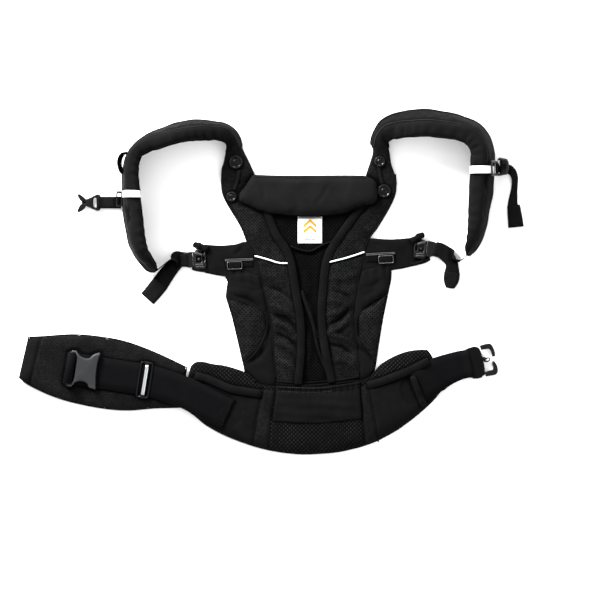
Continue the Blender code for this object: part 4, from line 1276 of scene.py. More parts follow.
def build_seat_flaps():
    """The side panels' gathered tops, which reach from the leaves up over the wings to the seat sliders."""
    over = Surface("wing_left_cloth", "side_panel_left_pad", "wing_right_cloth", "side_panel_right_pad")
    shapes = {"left": [(-68.5, 19), (-66, 24), (-49, 23.5), (-45, 18.5), (-31, 13), (-20.5, 9), (-17.5, -3),
        (-13.2, -20), (-11.2, -29), (-9.8, -48), (-20, -41.5), (-40, -33.5), (-70.2, -23.5), (-68, -6)],
        "right": [(189.5, 24), (187, 33), (172, 31), (168, 24), (155, 20), (144.5, 16), (140.5, -4),
        (136, -25), (133.2, -40), (138, -51), (150, -36.6), (166, -25.6), (185.5, -18), (188.4, 3)]}
    for side, outline in shapes.items():
        x0 = np.mean([p[0] for p in outline])

        def relief(points, far, x0=x0):
            wave = np.sin((points[:, 0] - x0) * 0.42 + points[:, 1] * 0.1)
            gather = 0.9 * wave * np.clip((points[:, 1] + 12) / 30, 0, 1)
            return gather * np.clip(far / 4, 0, 1) - 0.5 * np.clip((4 - points[:, 1]) / 20, 0, 1)

        applique(f"seat_flap_{side}", outline, over, 0.9, "cloth_plain", "carrier", spacing=2.5,
            round_off=1.6, relief=relief)


# ---------------------------------------------------------------- head support


def build_head_support():
    """The head support, a cushion folded down on the panel."""
    def relief(points, far):
        return ridges(points, HEAD_FOLDS) + 0.5 * ripple(points, 34, 6.0) - 1.2 * np.exp(-((far / 5) ** 2))

    made = pad("head_support_pad", HEAD, 6.9, 17.2, "cloth_head", relief=relief, cap=3.2,
        shrink=1.0, round_off=6.0)
    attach(made, "head_support")
    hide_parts("head_support_cover", "head_support_foam")
    top = Surface(made)
    lower = [(-50, 136), (-23, 119.5), (0, 112.5), (59, 108.5), (110, 111.5), (141, 121), (165, 129)]
    stitches("head_support_stitching", [smooth_line([(x, y + 5) for x, y in lower], 4)], top, "head_support")


def build_head_hinge():
    """The cloth that joins the head support's upper edge to the top of the panel, and bends with the fold."""
    cushion = Surface("head_support_pad")
    free = [(-12, 6.2), (-6, 5.8), (-2.0, 6.0)]
    sewn = [(1.0, 8.0), (3.0, 11.5), (3.0, 14.5), (0.5, 18.0), (-2.0, 20.0)]
    stations = np.linspace(-30, 151, 61)
    flat = np.ones(len(stations))
    edge = 170.5 - 1.3 * (stations + 30) / 180
    rows = []
    for dy, z in free:
        rows.append((np.column_stack([stations, edge + dy, z * flat]), 0.8))
    for dy, z in sewn:
        guide = np.column_stack([stations, edge + dy, z * flat])
        rows.append((cushion.nearest(guide, 0.45), 0.7))
    outer = np.array([row for row, thick in rows])
    inner = []
    for k, (row, thick) in enumerate(rows):
        run = outer[min(k + 1, len(outer) - 1)] - outer[max(k - 1, 0)]
        across = np.column_stack([0 * flat, -run[:, 2], run[:, 1]])
        inner.append(row + across / np.linalg.norm(across, axis=1)[:, None] * thick)
    loop = np.vstack([outer, np.array(inner)[::-1]])
    points = loop.transpose(1, 0, 2).reshape(-1, 3)
    faces = tube_faces(len(stations), len(loop))
    made = link("head_support_hinge", mesh_from("head_support_hinge", points, faces), "cloth_head")
    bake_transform(made, "carrier", "head_support", start=(0.061, 0.163, 0.006), end=(0.061, 0.1695, 0.0085))


# ---------------------------------------------------------------- shoulder straps


def strap_section(station, grow=0.0, count=24):
    """A rounded section of a standing strap, as points in space round its edge."""
    outer, inner = np.array(station[0:2], float), np.array(station[2:4], float)
    high = station[4] + grow
    low = STRAP_LOW - grow if station[4] > 30 else TABLE
    width = np.linalg.norm(inner - outer)
    across = (inner - outer) / width
    thick = min(station[5], width * 0.98)
    places, lifts = [], []
    for k in range(count):
        t = 2 * pi * k / count
        side = np.sign(cos(t)) * abs(cos(t)) ** BOXINESS
        lift = (np.sign(sin(t)) * abs(sin(t)) ** BOXINESS + 1) / 2
        places.append(thick / 2 + (width - thick) * lift + side * thick / 2)
        lifts.append(lift)
    places = np.array(places)
    places = (places - places.min()) / np.ptp(places) * (width + 2 * grow) - grow
    return [(*(outer + across * a), low + (high - low) * lift) for a, lift in zip(places, lifts)]


def strap_stations(stations, spacing):
    """Stations at an even spacing along a strap."""
    before = smooth_line(stations[: STRAIGHT + 1], spacing, sharp=NO_CORNERS)
    after = smooth_line(stations[STRAIGHT + 1 :], spacing, sharp=NO_CORNERS)
    steps = int(60 / spacing)
    between = [before[-1] + (after[0] - before[-1]) * i / steps for i in range(1, steps)]
    return np.vstack([before, between, after])


def edge_line(stations, corner, grow=0.0):
    """A line along a strap, through the same corner of each of its sections."""
    return np.array([strap_section(s, grow)[corner] for s in stations])


def build_strap(side, given):
    """One shoulder strap with its yoke: a standing pad that is blown up a little."""
    stations = strap_stations(given, 5.0)
    rings = [strap_section(s, 0.7) for s in stations]
    size = len(rings[0])
    points = [p for ring in rings for p in ring]
    faces = tube_faces(len(rings), size)
    name = f"strap_pad_{side}"
    made = link(name, mesh_from(name, points, faces), ["mesh_strap", "mesh_fine", "strap_ribbed"])
    looks = []
    for i in range(len(rings) - 1):
        flat = stations[i][4] < STAND
        looks += [1 if flat else (0 if CORNER <= k < FOOT else 2) for k in range(size)]
    made.data.polygons.foreach_set("material_index", looks + [1, 0])
    simulate(made, 3.0, 1.4)
    subdivide(made)
    shape_strap(made, stations, side)
    return made, stations


def shape_strap(made, stations, side):
    """Sewn hollows, small puckers and the cloth's own coordinates along and round the strap."""
    points = positions(made)
    middles = (stations[:, 0:2] + stations[:, 2:4]) / 2
    _, along = distance_to(points, middles)
    reach = np.concatenate([[0], np.cumsum(np.linalg.norm(np.diff(middles, axis=0), axis=1))])
    at = [np.interp(along, reach, stations[:, k]) for k in range(6)]
    outer = np.column_stack(at[0:2])
    across = np.column_stack(at[2:4]) - outer
    across /= np.linalg.norm(across, axis=1)[:, None]
    sideways = ((points[:, :2] - outer) * across).sum(1)
    normals = np.array([tuple(v.normal) for v in made.data.vertices])
    steep = np.clip(at[4] / 26 - 0.5, 0, 1)
    seam = edge_line(stations, CORNER)
    far = nearest_distance(points, seam)
    push = -1.5 * np.exp(-((far / 2.6) ** 2)) * steep
    slot_at, slot_reach = SLOTS[side]
    near_slot = np.exp(-(((along - slot_at) / slot_reach) ** 4))
    push -= 4.5 * np.exp(-(((far - 3) / 3.4) ** 2)) * near_slot
    wave = np.sin(along / 2.9 + 2.2 * np.sin(along / 21))
    push += 0.5 * wave * np.exp(-(((far - 17) / 7) ** 2)) * steep
    skin = np.column_stack([along, points[:, 2] + sideways])
    push += 0.7 * ripple(skin, 20, 3.0) * (0.35 + steep)
    tip = np.clip((along - reach[-1] + 45) / 40, 0, 1)
    push += 1.5 * tip * ripple(skin, 9, 5.0)
    points += normals * push[:, None]
    points[:, 2] = np.maximum(points[:, 2], TABLE)
    set_positions(made, points)
    flat = at[4] < 22
    around = np.where(flat, points[:, 1], points[:, 2] + sideways * 0.9)
    set_weave(made.data, np.column_stack([np.where(flat, points[:, 0], along), around, 0 * along]) * MM)


def nearest_distance(points, line):
    """How far each point is from a line in space."""
    best = np.full(len(points), 1e9)
    for p in line:
        best = np.minimum(best, np.linalg.norm(points - p, axis=1))
    return best


def swing_blend(piece, side):
    """Cloth on the hinge line between the carrier and a shoulder strap bends over a short stretch."""
    joint = next(j for j in frame["joints"] if j["name"] == f"strap_{side}_swing")
    axis = Vector(joint["axis"])
    start = Vector(joint["pos_m"])
    outward = Vector((-axis.y, axis.x, 0)).normalized()
    if (outward.x > 0) == (side == "left"):
        outward = -outward
    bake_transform(piece, "carrier", f"strap_{side}", start=start, end=start + outward * SWING_REACH * MM)


def build_straps():
    """Both shoulder straps with their piping. They bend at the swing's axis."""
    for side, given in (("left", STRAP_LEFT), ("right", STRAP_RIGHT)):
        made, stations = build_strap(side, given)
        surface = Surface(made)
        swing_blend(made, side)
        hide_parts(f"strap_cover_{side}", f"strap_foam_{side}", f"yoke_{side}")
        tall = stations[stations[:, 4] > 15]
        for where, corner, radius, rise, look in (("top", CORNER, 1.15, 0.3, "cloth_piping"),
                ("foot", 13, 1.2, 0.2, "cloth_tape"), ("inner", 2, 1.3, 0.2, "cloth_tape")):
            path = edge_line(tall, corner, 0.7)[1:-2]
            path = smooth_line(surface.nearest(path, rise), 2.5, sharp=NO_CORNERS)
            trim = sweep(f"strap_piping_{where}_{side}", path, round_section(radius, 8), look)
            swing_blend(trim, side)


# ---------------------------------------------------------------- webbing


def ribbon(name, path, width, thick, body=None, spacing=3.0, widths=None):
    """Webbing along a path in space, where widths may scale its width from end to end."""
    path = smooth_line(path, spacing, sharp=NO_CORNERS)
    scales = None
    if widths is not None:
        at = np.linspace(0, 1, len(widths))
        scales = [(w, 1.0) for w in np.interp(np.linspace(0, 1, len(path)), at, widths)]
    look = "webbing" if width > 30 else "webbing_strap"
    return sweep(name, path, webbing_section(width, thick), look, body, scales=scales)


def build_waist_webbing():
    """The left waist webbing: sewn on the belt, over the lumbar pad, and round the socket's bar."""
    flat = 15.05
    radius = 6.2  # of the loop round the bar
    bar = np.array([*SOCKET_BAR, flat + radius])
    along = np.array([cos(radians(WAIST_TURN)), sin(radians(WAIST_TURN)), 0])
    loop = []
    for i in range(23):
        t = radians(-35 + 13.4 * i)
        loop.append(bar + along * radius * cos(t) + np.array([0, 0, radius * sin(t)]))
    path = loop + [bar + along * far - np.array([0, 0, radius]) for far in (6, 20, 50, 90, 126)]
    path += [(-172, -165.4, flat), (-144, -174.8, flat), (-131, -180.6, 15.4), (-112, -190.5, 15.6),
        (-92, -200.5, 15.6), (-69, -211.5, 15.4)]
    path = np.array([tuple(p) for p in path])
    line = np.vstack([path[:22], smooth_line(path[22:], 3.0, sharp=NO_CORNERS)])
    made = sweep("waist_webbing_left_band", line, webbing_section(50, 1.5), "webbing")
    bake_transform(made, "carrier", "waist_left", start=(-0.131, -0.1805, 0.015), end=(-0.1585, -0.1755, 0.015))
    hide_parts("waist_webbing_left", "waist_webbing_anchor")
    a, b, c, d = (-64, -190), (-75, -230), (-84, -182), (-95, -221)
    x_box = [(a, b), ((-67, -189.5), (-78, -229)), (a, c), (b, d), (c, d), (a, d), (b, c)]
    top = Surface(made)
    stitches("waist_box_stitching", [smooth_line(line, 4) for line in x_box], top, "carrier")
    fold = [(-312, -113), (-320, -164)]
    stitches("waist_loop_stitching", [smooth_line([(x + 14, y) for x, y in fold], 4)], top, "waist_left")


def build_right_webbing():
    """The right waist webbing: out from under the keeper, down off the belt and round the buckle's bar."""
    turn = radians(12)
    out = np.array([cos(turn), sin(turn), 0])
    bar = np.array([318, -130.2, 5.6])
    path = [np.array(p, float) for p in WEBBING_RIGHT]
    path += [bar + out * -7 + np.array([0, 0, 0.8]), bar + out * -4 + np.array([0, 0, 3.2]),
        bar + out * -1 + np.array([0, 0, 3.6]), bar + out * 2.5 + np.array([0, 0, 2.2])]
    made = ribbon("waist_webbing_right_band", path, 48, 1.5, spacing=2.5,
        widths=(1.04, 1.06, 1.12, 1.14, 1.06, 1.0, 0.96, 0.94, 0.94))
    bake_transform(made, "carrier", "waist_right", start=(0.252, -0.1515, 0.015), end=(0.283, -0.1425, 0.015))
    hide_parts("waist_webbing_right")


def strap_tail(name, side, under, edges, tail, widths, hem, end_widths):
    """From the strap's tip, on edge, to the ladder lock, and back out as the free tail with its hem."""
    path = smooth_line(under, 2.0, sharp=NO_CORNERS)
    reach = np.linspace(0, 1, len(path))
    stand = np.interp(reach, *zip(*edges))
    across = []
    for i, up in enumerate(stand):
        ahead = path[min(i + 1, len(path) - 1)] - path[max(i - 1, 0)]
        flat = Vector((ahead[1], -ahead[0], 0)).normalized()
        across.append(flat * (1 - up) + Vector((0, 0, 1)) * up)
    first = sweep(f"{name}_edge", path, webbing_section(24, 1.3), "webbing", across=across)
    swing_blend(first, side)
    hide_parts(f"strap_webbing_{side}")
    second = ribbon(f"{name}_tail", tail, 25, 1.4, widths=[w / 25 for w in widths])
    swing_blend(second, side)
    third = ribbon(f"{name}_hem", hem, 25, 3.2, widths=[w / 25 for w in end_widths], spacing=2.0)
    swing_blend(third, side)
    top = Surface(third)
    a, b = np.array(hem[0][:2], float), np.array(hem[-1][:2], float)
    along = (b - a) / np.linalg.norm(b - a)
    side_way = np.array([-along[1], along[0]])
    reach = np.linalg.norm(b - a)
    half = min(end_widths) / 2 - 2
    rows = [np.array([a + along * at + side_way * s for s in (-half, half)]) for at in (3, 6, reach - 4)]
    made = stitches(f"{name}_stitching", rows, top, None)
    swing_blend(made, side)


def build_strap_webbing():
    strap_tail("strap_webbing_left", "left", [(-184, 17, 15), (-177, 23, 15), (-170, 28.5, 14.5),
        (-163, 34.0, 14), (-157, 36.5, 13.5), (-151, 37.0, 10), (-146, 36.0, 5), (-141, 35.5, 1.6),
        (-137, 35, 1.3)], [(0, 1), (0.5, 1), (0.72, 0.1), (0.8, 0), (1, 0)],
        [(-133.5, 35, 8.0), (-137.5, 34.8, 8.6), (-141, 34.3, 7.8), (-149, 31.5, 5.4), (-156.7, 24.6, 4.2),
        (-166.4, 13.5, 3.6), (-179, -4.5, 3.0), (-184, -10.5, 2.8)], [20.5, 20.5, 22, 24, 26, 27, 27.5, 27.5],
        [(-177, -1.8, 3.4), (-184, -10.5, 3.0), (-191, -19, 2.4), (-198.5, -27.5, 2.2)], [28, 28, 27.5, 27])
    strap_tail("strap_webbing_right", "right", [(318, 47, 15), (312, 42, 14.5), (309, 38.2, 14),
        (304, 35.0, 13.5), (298, 34.6, 12.5), (292, 37.0, 8), (286, 40.6, 3.4), (278, 45.6, 1.4),
        (270, 50, 1.3), (262, 52, 1.3)], [(0, 1), (0.4, 1), (0.55, 0.25), (0.66, 0), (1, 0)],
        [(257.5, 52.6, 8.0), (261.5, 52, 8.6), (265, 51, 7.8), (272, 47, 5.8), (279, 41.6, 4.6),
        (285.2, 35.2, 3.8), (288.4, 28, 3.2), (288.9, 20, 3.0), (288.4, 12, 2.9), (287.4, 4, 2.8)],
        [20.5, 20.5, 20.5, 21, 21, 20, 21, 23.5, 25, 25], [(288.8, 15, 3.2), (287.9, 6, 3.0),
        (286.8, -2, 2.8), (285.8, -8.4, 2.4), (285.5, -10.6, 2.2)], [25, 25.5, 25.6, 25, 23, 19, 13])


# ---------------------------------------------------------------- chest strap


def build_keeper_loop():
    """The small elastic loop on the left strap's outer edge, which keeps rolled webbing."""
    path = smooth_line([(-229, 204.5, 50), (-236, 202.5, 50), (-240.6, 195, 50), (-241.4, 186, 50),
        (-238.8, 176, 50), (-235.6, 171.5, 50)], 1.5, sharp=NO_CORNERS)
    across = [Vector((-0.5, 0.1, 0.86))] * len(path)
    sweep("strap_keeper_loop", path, webbing_section(14, 1.3), "webbing", "strap_left", across=across)


def chest_band(side, stations, y0, y1):
    """The reflective band sewn round a strap."""
    upper, lower = np.array(stations[STRAIGHT], float), np.array(stations[STRAIGHT + 1], float)
    rings = []
    for y in (y0, y0 - 0.8, (y0 + y1) / 2, y1 + 0.8, y1):
        part = (y - upper[1]) / (lower[1] - upper[1])
        grow = 2.0 if y in (y0, y1) else 2.6
        rings.append(strap_section(upper + (lower - upper) * part, grow, BAND_POINTS))
    inner = []
    for y in (y1, y0):
        part = (y - upper[1]) / (lower[1] - upper[1])
        inner.append(strap_section(upper + (lower - upper) * part, 1.6, BAND_POINTS))
    points = [p for ring in rings + inner for p in ring]
    faces = tube_faces(len(rings + inner), BAND_POINTS, closed=True)
    weave = [(p[1], p[2] + p[0], 0) for p in points]
    name = f"chest_band_{side}_tape"
    made = link(name, mesh_from(name, points, faces, weave), "reflective_white", f"chest_{side}")
    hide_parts(f"chest_band_{side}")


def local_frame(x, y, z, turn):
    """A place on the carrier, turned by some degrees in plan."""
    return Matrix.Translation((x, y, z)) @ Matrix.Rotation(radians(turn), 4, "Z")


def build_chest():
    """The chest strap's two bands, its open buckle, its clips and its long tail."""
    chest_band("left", STRAP_LEFT, 145, 134)
    chest_band("right", STRAP_RIGHT, 184, 172)
    path = [(-240.5, 126.5, 3.2), (-250, 126.5, 2.6), (-266, 126.5, 2.8), (-273, 126.5, 4.4),
        (-276.8, 126.5, 6.6), (-279.4, 126.5, 5.6), (-279.0, 126.5, 4.2)]
    band = ribbon("chest_webbing_left_band", path, 19, 1.3, "chest_left", spacing=2.0)
    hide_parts("chest_webbing_left")
    body = [(-296.9, 131.9), (-289.1, 135.1), (-281.8, 138.8), (-277.4, 140.1), (-273.8, 138.2),
        (-273.2, 136), (-273.2, 117), (-273.8, 115.2), (-277.4, 113.2), (-281.8, 114.2), (-289.1, 117.4),
        (-296.9, 121.0), (-303.4, 123.8), (-303.6, 126.4), (-303.4, 129)]
    window = [(-284.8, 131.5), (-283, 133.8), (-278.8, 133.8), (-275.6, 133.8), (-275.6, 118.8),
        (-278.8, 118.8), (-283, 118.8), (-284.8, 121)]
    plate("chest_buckle_male_body", body, 1.6, 3.2, "plastic_black", "chest_left", [window], 0.7,
        nodes=("chest_buckle_male",))
    crown = [(-296.6, 131.6), (-289.1, 134.8), (-281.8, 138.4), (-277.6, 139.6), (-274.2, 138.0),
        (-276.4, 135.2), (-281.5, 134.6), (-285.6, 131.6), (-286.2, 126.4), (-285.6, 121.2), (-281.5, 118.2),
        (-276.4, 117.6), (-274.2, 115.4), (-277.6, 113.6), (-281.8, 114.6), (-289.1, 117.8), (-296.6, 121.4)]
    plate("chest_buckle_male_crown", crown, 3.0, 5.6, "plastic_lock", "chest_left", (), 1.1, dome=0.5)
    upper = [(-296.9, 132.4), (-302.4, 137.0), (-307.6, 140.4), (-310.2, 139.8), (-309.9, 136.6),
        (-307.2, 131.8), (-304.8, 128.6), (-297.0, 127.8)]
    lower = [(-297.0, 124.8), (-304.8, 124.2), (-307.2, 121.0), (-310.0, 115.4), (-310.8, 111.6),
        (-308.4, 110.4), (-302.6, 113.4), (-296.9, 119.6)]
    for name, outline, side in (("chest_prong_upper", upper, "a"), ("chest_prong_lower", lower, "b")):
        plate(f"{name}_tip", outline, 3.5, 5.9, "plastic_lock", f"chest_prong_{side}", (), 0.9, dome=0.4,
            nodes=(name,))
    plate("chest_clip_left", box_outline(-5, -12.3, 5, 12.3, 1.5), -1.6, 1.6, "plastic_lock", "chest_left",
        [box_outline(-2.8, -8.6, 2.8, 8.6)], 0.9, local_frame(-243.2, 132.3, 8.0, 0)
        @ Matrix.Rotation(radians(18), 4, "Y"))
    band = Surface("chest_band_right_tape")
    high, low = [np.array([x, 180.4, band.top([(x, 180.4)])[0]]) for x in (348.0, 355.5)]
    slope = high - low
    length = np.linalg.norm(slope)
    middle = (high + low) / 2 + np.array([slope[2], 0, -slope[0]]) / length * 3.2
    tilt = Matrix.Rotation(np.arctan2(slope[2], -slope[0]), 4, "Y")
    half = length / 2 + 3.0
    # painted highlight: the clip is black plastic, and the light gray stands in for the shine on its bars
    plate("chest_clip_right", box_outline(-half, -12.3, half, 12.3, 1.5), -1.6, 1.6, "plastic_gray",
        "chest_right", [box_outline(2.4 - half, -8.0, half - 2.4, 8.0)], 1.0,
        local_frame(middle[0], middle[1], middle[2], 2) @ tilt)
    foot = middle - slope / length * (half - 1.2)
    drop = [(foot[0] - 0.5, 180.4, foot[2] + 2.6), (foot[0] + 1.6, 180.5, foot[2] + 1.2),
        (361.5, 181.2, 11.4), (365.0, 182.4, 9.8)]
    ribbon("chest_loop_right", drop, 15, 1.3, "chest_right", spacing=2.0)
    socket = [(361.2, 169.6), (364.4, 168.8), (376.4, 171.2), (379.2, 176.4), (379.4, 190.6), (376.8, 196.4),
        (365.0, 198.4), (361.8, 196.4), (360.2, 184)]
    plate("chest_socket", socket, 4.5, 13.6, "plastic_lock", "chest_right",
        [box_outline(362.2, 173.0, 364.6, 194.0, 0.6)], 2.4, dome=2.2, nodes=("chest_buckle_female",))
    plate("chest_socket_window", [(369, 178), (374.5, 179), (375.5, 184), (374.6, 189), (369.4, 190),
        (368.2, 184)], 15.4, 16.3, "rubber_black", "chest_right", (), 0.5)
    path = [(372, 181.5, 3.2), (380, 179.6, 3.6), (386.0, 174, 3.6), (389, 166, 3.4), (389, 155.5, 3.0),
        (387.4, 140, 2.4), (385.9, 125, 2.0), (387.0, 116, 2.0)]
    tail = ribbon("chest_webbing_right_band", path, 17, 1.5, "chest_right", spacing=2.5,
        widths=(0.9, 0.85, 0.65, 0.58, 0.62, 0.78, 0.92, 1.1))
    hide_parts("chest_webbing_right")
    hem = [(387.2, 122, 2.4), (388.4, 112, 2.3), (390.1, 98, 2.2), (391.2, 87, 2.1)]
    ribbon("chest_tail_hem", hem, 24, 3.0, "chest_right", spacing=2.0, widths=(0.86, 0.94, 1.0, 1.04))
    top = Surface("chest_tail_hem")
    rows = [np.array([(378.6, 117.5), (397.5, 119)]), np.array([(379, 113), (398, 114.4)]),
        np.array([(380, 91), (401.5, 92.6)])]
    stitches("chest_hem_stitching", rows, top, "chest_right")


# ---------------------------------------------------------------- buckles and small hardware


def build_waist_buckles():
    """The gray waist socket and the black frame with prongs, at the two ends of the waist webbing."""
    outline = [(-314.8, -112.6), (-310.4, -112.6), (-304.7, -118.6), (-296.6, -122.2), (-290.0, -122.2),
        (-286.3, -118.0), (-281.2, -115.0), (-274.4, -113.4), (-273.0, -115.4), (-277.0, -128.5),
        (-279.0, -140.6), (-280.1, -152.8), (-280.6, -170.6), (-282.0, -171.8), (-291.6, -168.6),
        (-293.9, -163.5), (-299.3, -159.8), (-306.0, -158.8), (-312.8, -160.9), (-317.4, -165.0),
        (-322.8, -164.0), (-316.8, -158.2), (-313.4, -140.6), (-311.4, -124.4), (-312.1, -116.3)]
    plate("waist_socket_plate", outline, 17.4, 22.0, "plastic_gray", "waist_socket", (), 1.8, dome=1.8,
        rim=0.5, spacing=2.4, nodes=("waist_buckle_female",))
    inner = [(x * 0.86 - 296 * 0.14, y * 0.8 - 140 * 0.2) for x, y in outline]
    plate("waist_socket_base", inner, 16.4, 18.2, "plastic_black", "waist_socket", (), 0.8, spacing=3.0)
    turned = local_frame(*SOCKET_BAR, 21.25, WAIST_TURN)
    sweep("waist_socket_bar", [tuple(turned @ Vector((-0.2, y, 0))) for y in np.linspace(-27, 27, 12)],
        round_section(2.6, 12), "plastic_black", "waist_socket")
    for k, y in enumerate((-26.6, 26.6)):
        arm = [tuple(turned @ Vector((x, y, z))) for x, z in ((-0.2, 0), (3.2, -0.4), (7.4, -1.0))]
        sweep(f"waist_socket_arm_{k}", smooth_line(arm, 1.5), round_section(2.2, 10), "plastic_gray",
            "waist_socket")

    block = [(311.7, -107.2), (320.5, -104.4), (323.4, -103.4), (330.2, -105.0), (333.4, -108.6),
        (336.4, -117.8), (338.6, -124.6), (340.6, -135.4), (341.6, -148.2), (337.6, -151.4), (335.2, -154.0),
        (323.6, -155.4), (320.6, -154.2), (316.4, -132)]
    plate("waist_male_block", block, 2.6, 7.4, "plastic_black", "waist_right", (), 1.2, dome=0.9,
        nodes=("waist_buckle_male",))
    light_bar = [(309.8, -107.8), (313.4, -107.0), (321.6, -153.6), (318.2, -154.4)]
    plate("waist_male_bar", light_bar, 3.0, 8.0, "plastic_gray", "waist_right", (), 1.3, dome=0.5)
    bridge = [(336.4, -119.6), (343.0, -121.6), (347.0, -121.0), (349.8, -121.6), (350.2, -124.2),
        (348.8, -127.0), (344.6, -128.8), (339.8, -128.4), (338.4, -124.4)]
    plate("waist_male_bridge", bridge, 3.2, 6.4, "plastic_black", "waist_right",
        [[(342.8, -124.2), (346.0, -122.9), (348.4, -123.4), (347.9, -125.2), (345.0, -126.5),
        (342.6, -126.2)]], 0.7)
    upper = [(332.6, -102.4), (340.6, -99.8), (348.2, -98.8), (352.0, -100.6), (355.0, -106.0),
        (357.4, -113.6), (357.8, -119.8), (352.8, -120.2), (351.6, -114.6), (349.4, -109.4), (347.0, -107.4),
        (340.8, -108.6), (335.2, -109.8)]
    lower = [(341.0, -144.4), (348.8, -142.0), (353.4, -140.6), (354.6, -137.4), (352.8, -132.0),
        (352.8, -127.2), (356.6, -126.6), (359.6, -131.6), (361.8, -138.2), (361.8, -144.4), (359.4, -148.4),
        (350.2, -150.6), (342.8, -151.8)]
    for name, shape, side in (("waist_prong_upper", upper, "a"), ("waist_prong_lower", lower, "b")):
        plate(f"{name}_arm", shape, 3.0, 6.6, "plastic_lock", f"waist_prong_{side}", (), 1.1, dome=0.8,
            nodes=(name,))


def build_triglide():
    """A slider of black wire frame with a bright middle bar that shows above the webbing."""
    turned = local_frame(-202, -157, 16.6, WAIST_TURN)
    outer, inner = box_outline(-11, -28.8, 9.5, 28.8, 3), [box_outline(-8.4, -26.4, -3.4, 26.4, 1.4),
        box_outline(3.2, -26.4, 6.9, 26.4, 1.4)]
    plate("triglide_frame", outer, -1.0, 1.2, "metal_dark", "triglide", inner, 1.1, turned, dome=0.4,
        nodes=("waist_triglide",))
    bar = [tuple(turned @ Vector((0, y, 2.0))) for y in np.linspace(-24, 24, 12)]
    sweep("triglide_bar", bar, round_section(2.85, 14, 0.5), "metal_satin", "triglide")


def ladder_lock(side, x, y, turn, sign):
    """The ladder lock of a side buckle. sign is +1 where the strap's webbing leaves to the right."""
    place = local_frame(x, y, 0, turn)
    outline = [(sign * a, b) for a, b in ((-3.5, -9.6), (-2.5, -11.4), (7.5, -12.6), (10.5, -11.6),
        (15.6, -10.4), (16.4, -9.4), (16.4, 9.8), (15.6, 10.8), (10.5, 12.2), (4, 12.8), (-2.5, 11.8),
        (-3.5, 10))]
    windows = [[(sign * a, b) for a, b in ((0.6, -10.4), (1.4, -10.4), (1.4, 10.4), (0.6, 10.4))],
        [(sign * a, b) for a, b in ((11.2, -9.6), (13.2, -9.4), (13.2, 9.6), (11.2, 9.9))]]
    plate(f"side_lock_{side}", outline, 3.2, 6.6, "plastic_lock", "carrier", windows, 1.0, place, rim=0.3,
        nodes=(f"side_buckle_tongue_{side}",))
    bar = [tuple(place @ Vector((sign * 14.9, b, 6.2))) for b in np.linspace(-9.6, 9.8, 8)]
    sweep(f"side_lock_bar_{side}", bar, round_section(1.3, 10, 0.9), "plastic_gray", "carrier")


def build_sockets():
    """The two side buckles: ladder lock, socket and prongs."""
    for side, x, y, turn, sign in (("left", -124.5, 35.2, 4, -1), ("right", 247.4, 52.6, -4, 1)):
        ladder_lock(side, x, y, turn, sign)
        place = local_frame(x, y, 0, turn)
        shape = [(0.2, -13.8), (-5, -16.6), (-18, -16.0), (-20, -12), (-20, 12), (-18.5, 15.4), (-9, 15.0),
            (-3, 13.4), (0.2, 12)]
        hole = [(-11.6, -4.6), (-4.8, -4.6), (-4.8, 4.6), (-11.6, 4.6)]
        slot = [(-16.6, -3.2), (-14.6, -3.2), (-14.6, 3.2), (-16.6, 3.2)]
        rung = [(-17.0, 9.2), (-10.4, 9.2), (-9.6, 11.0), (-10.4, 12.6), (-17.0, 12.6)]

        def flip(points, sign=sign):
            return [(sign * a, b) for a, b in points]

        plate(f"side_socket_{side}", flip(shape), 0.8, 6.4, "plastic_lock", "carrier",
            [flip(hole), flip(slot), flip(rung)], 1.6, place, dome=1.8, nodes=(f"side_buckle_socket_{side}",))
        plate(f"side_socket_floor_{side}", flip([(-0.6, -12), (-17, -13), (-17, 13), (-0.6, 11)]), 0.6, 2.6,
            "rubber_black", "carrier", (), 0.5, place)
        plate(f"side_socket_key_{side}", flip([(-10.2, -2.3), (-6.6, -2.3), (-6.6, 2.3), (-10.2, 2.3)]), 2.4,
            6.6, "plastic_gray", "carrier", (), 0.7, place)
        # painted highlights: raised strips in light gray on the socket's top stand in for the shine on its dark
        # plastic
        for k, (a0, b0, a1, b1) in enumerate(((-2, 10.2, -14, 6.4), (-2.4, -8.4, -15, -9.6),
                (-3, -11.6, -16, -13))):
            line = [tuple(place @ Vector((sign * a, b, z))) for a, b, z in ((a0, b0, 7.6),
                ((a0 + a1) / 2, (b0 + b1) / 2 + 0.5, 8.6), (a1, b1, 8.0))]
            sweep(f"side_socket_rib_{side}_{k}", smooth_line(line, 1.5),
                round_section(1.1 if k else 1.8, 8, 0.7), "plastic_gray", "carrier")
        for where in ("front", "back"):
            refit(f"side_buckle_prong_{where}_{side}", "plastic_black", 0.6)


def build_hardware():
    """Every buckle, slider and button but the chest strap's."""
    build_sockets()
    build_waist_buckles()
    build_triglide()
    build_buttons()
    build_tracks()


def lathe(name, profile, x, y, z, look, body):
    """A profile of (radius, height) turned about an upright axis."""
    count = 40
    points = []
    for radius, rise in profile:
        for k in range(count):
            t = 2 * pi * k / count
            points.append((x + radius * cos(t), y + radius * sin(t), z + rise))
    return link(name, mesh_from(name, points, tube_faces(len(profile), count)), look, body)


def middle_of(node):
    """The middle of a CAD node in plan, its half width and its top."""
    low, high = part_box(node)
    return (low[0] + high[0]) / 2 / MM, (low[1] + high[1]) / 2 / MM, (high[0] - low[0]) / 2 / MM, high[2] / MM


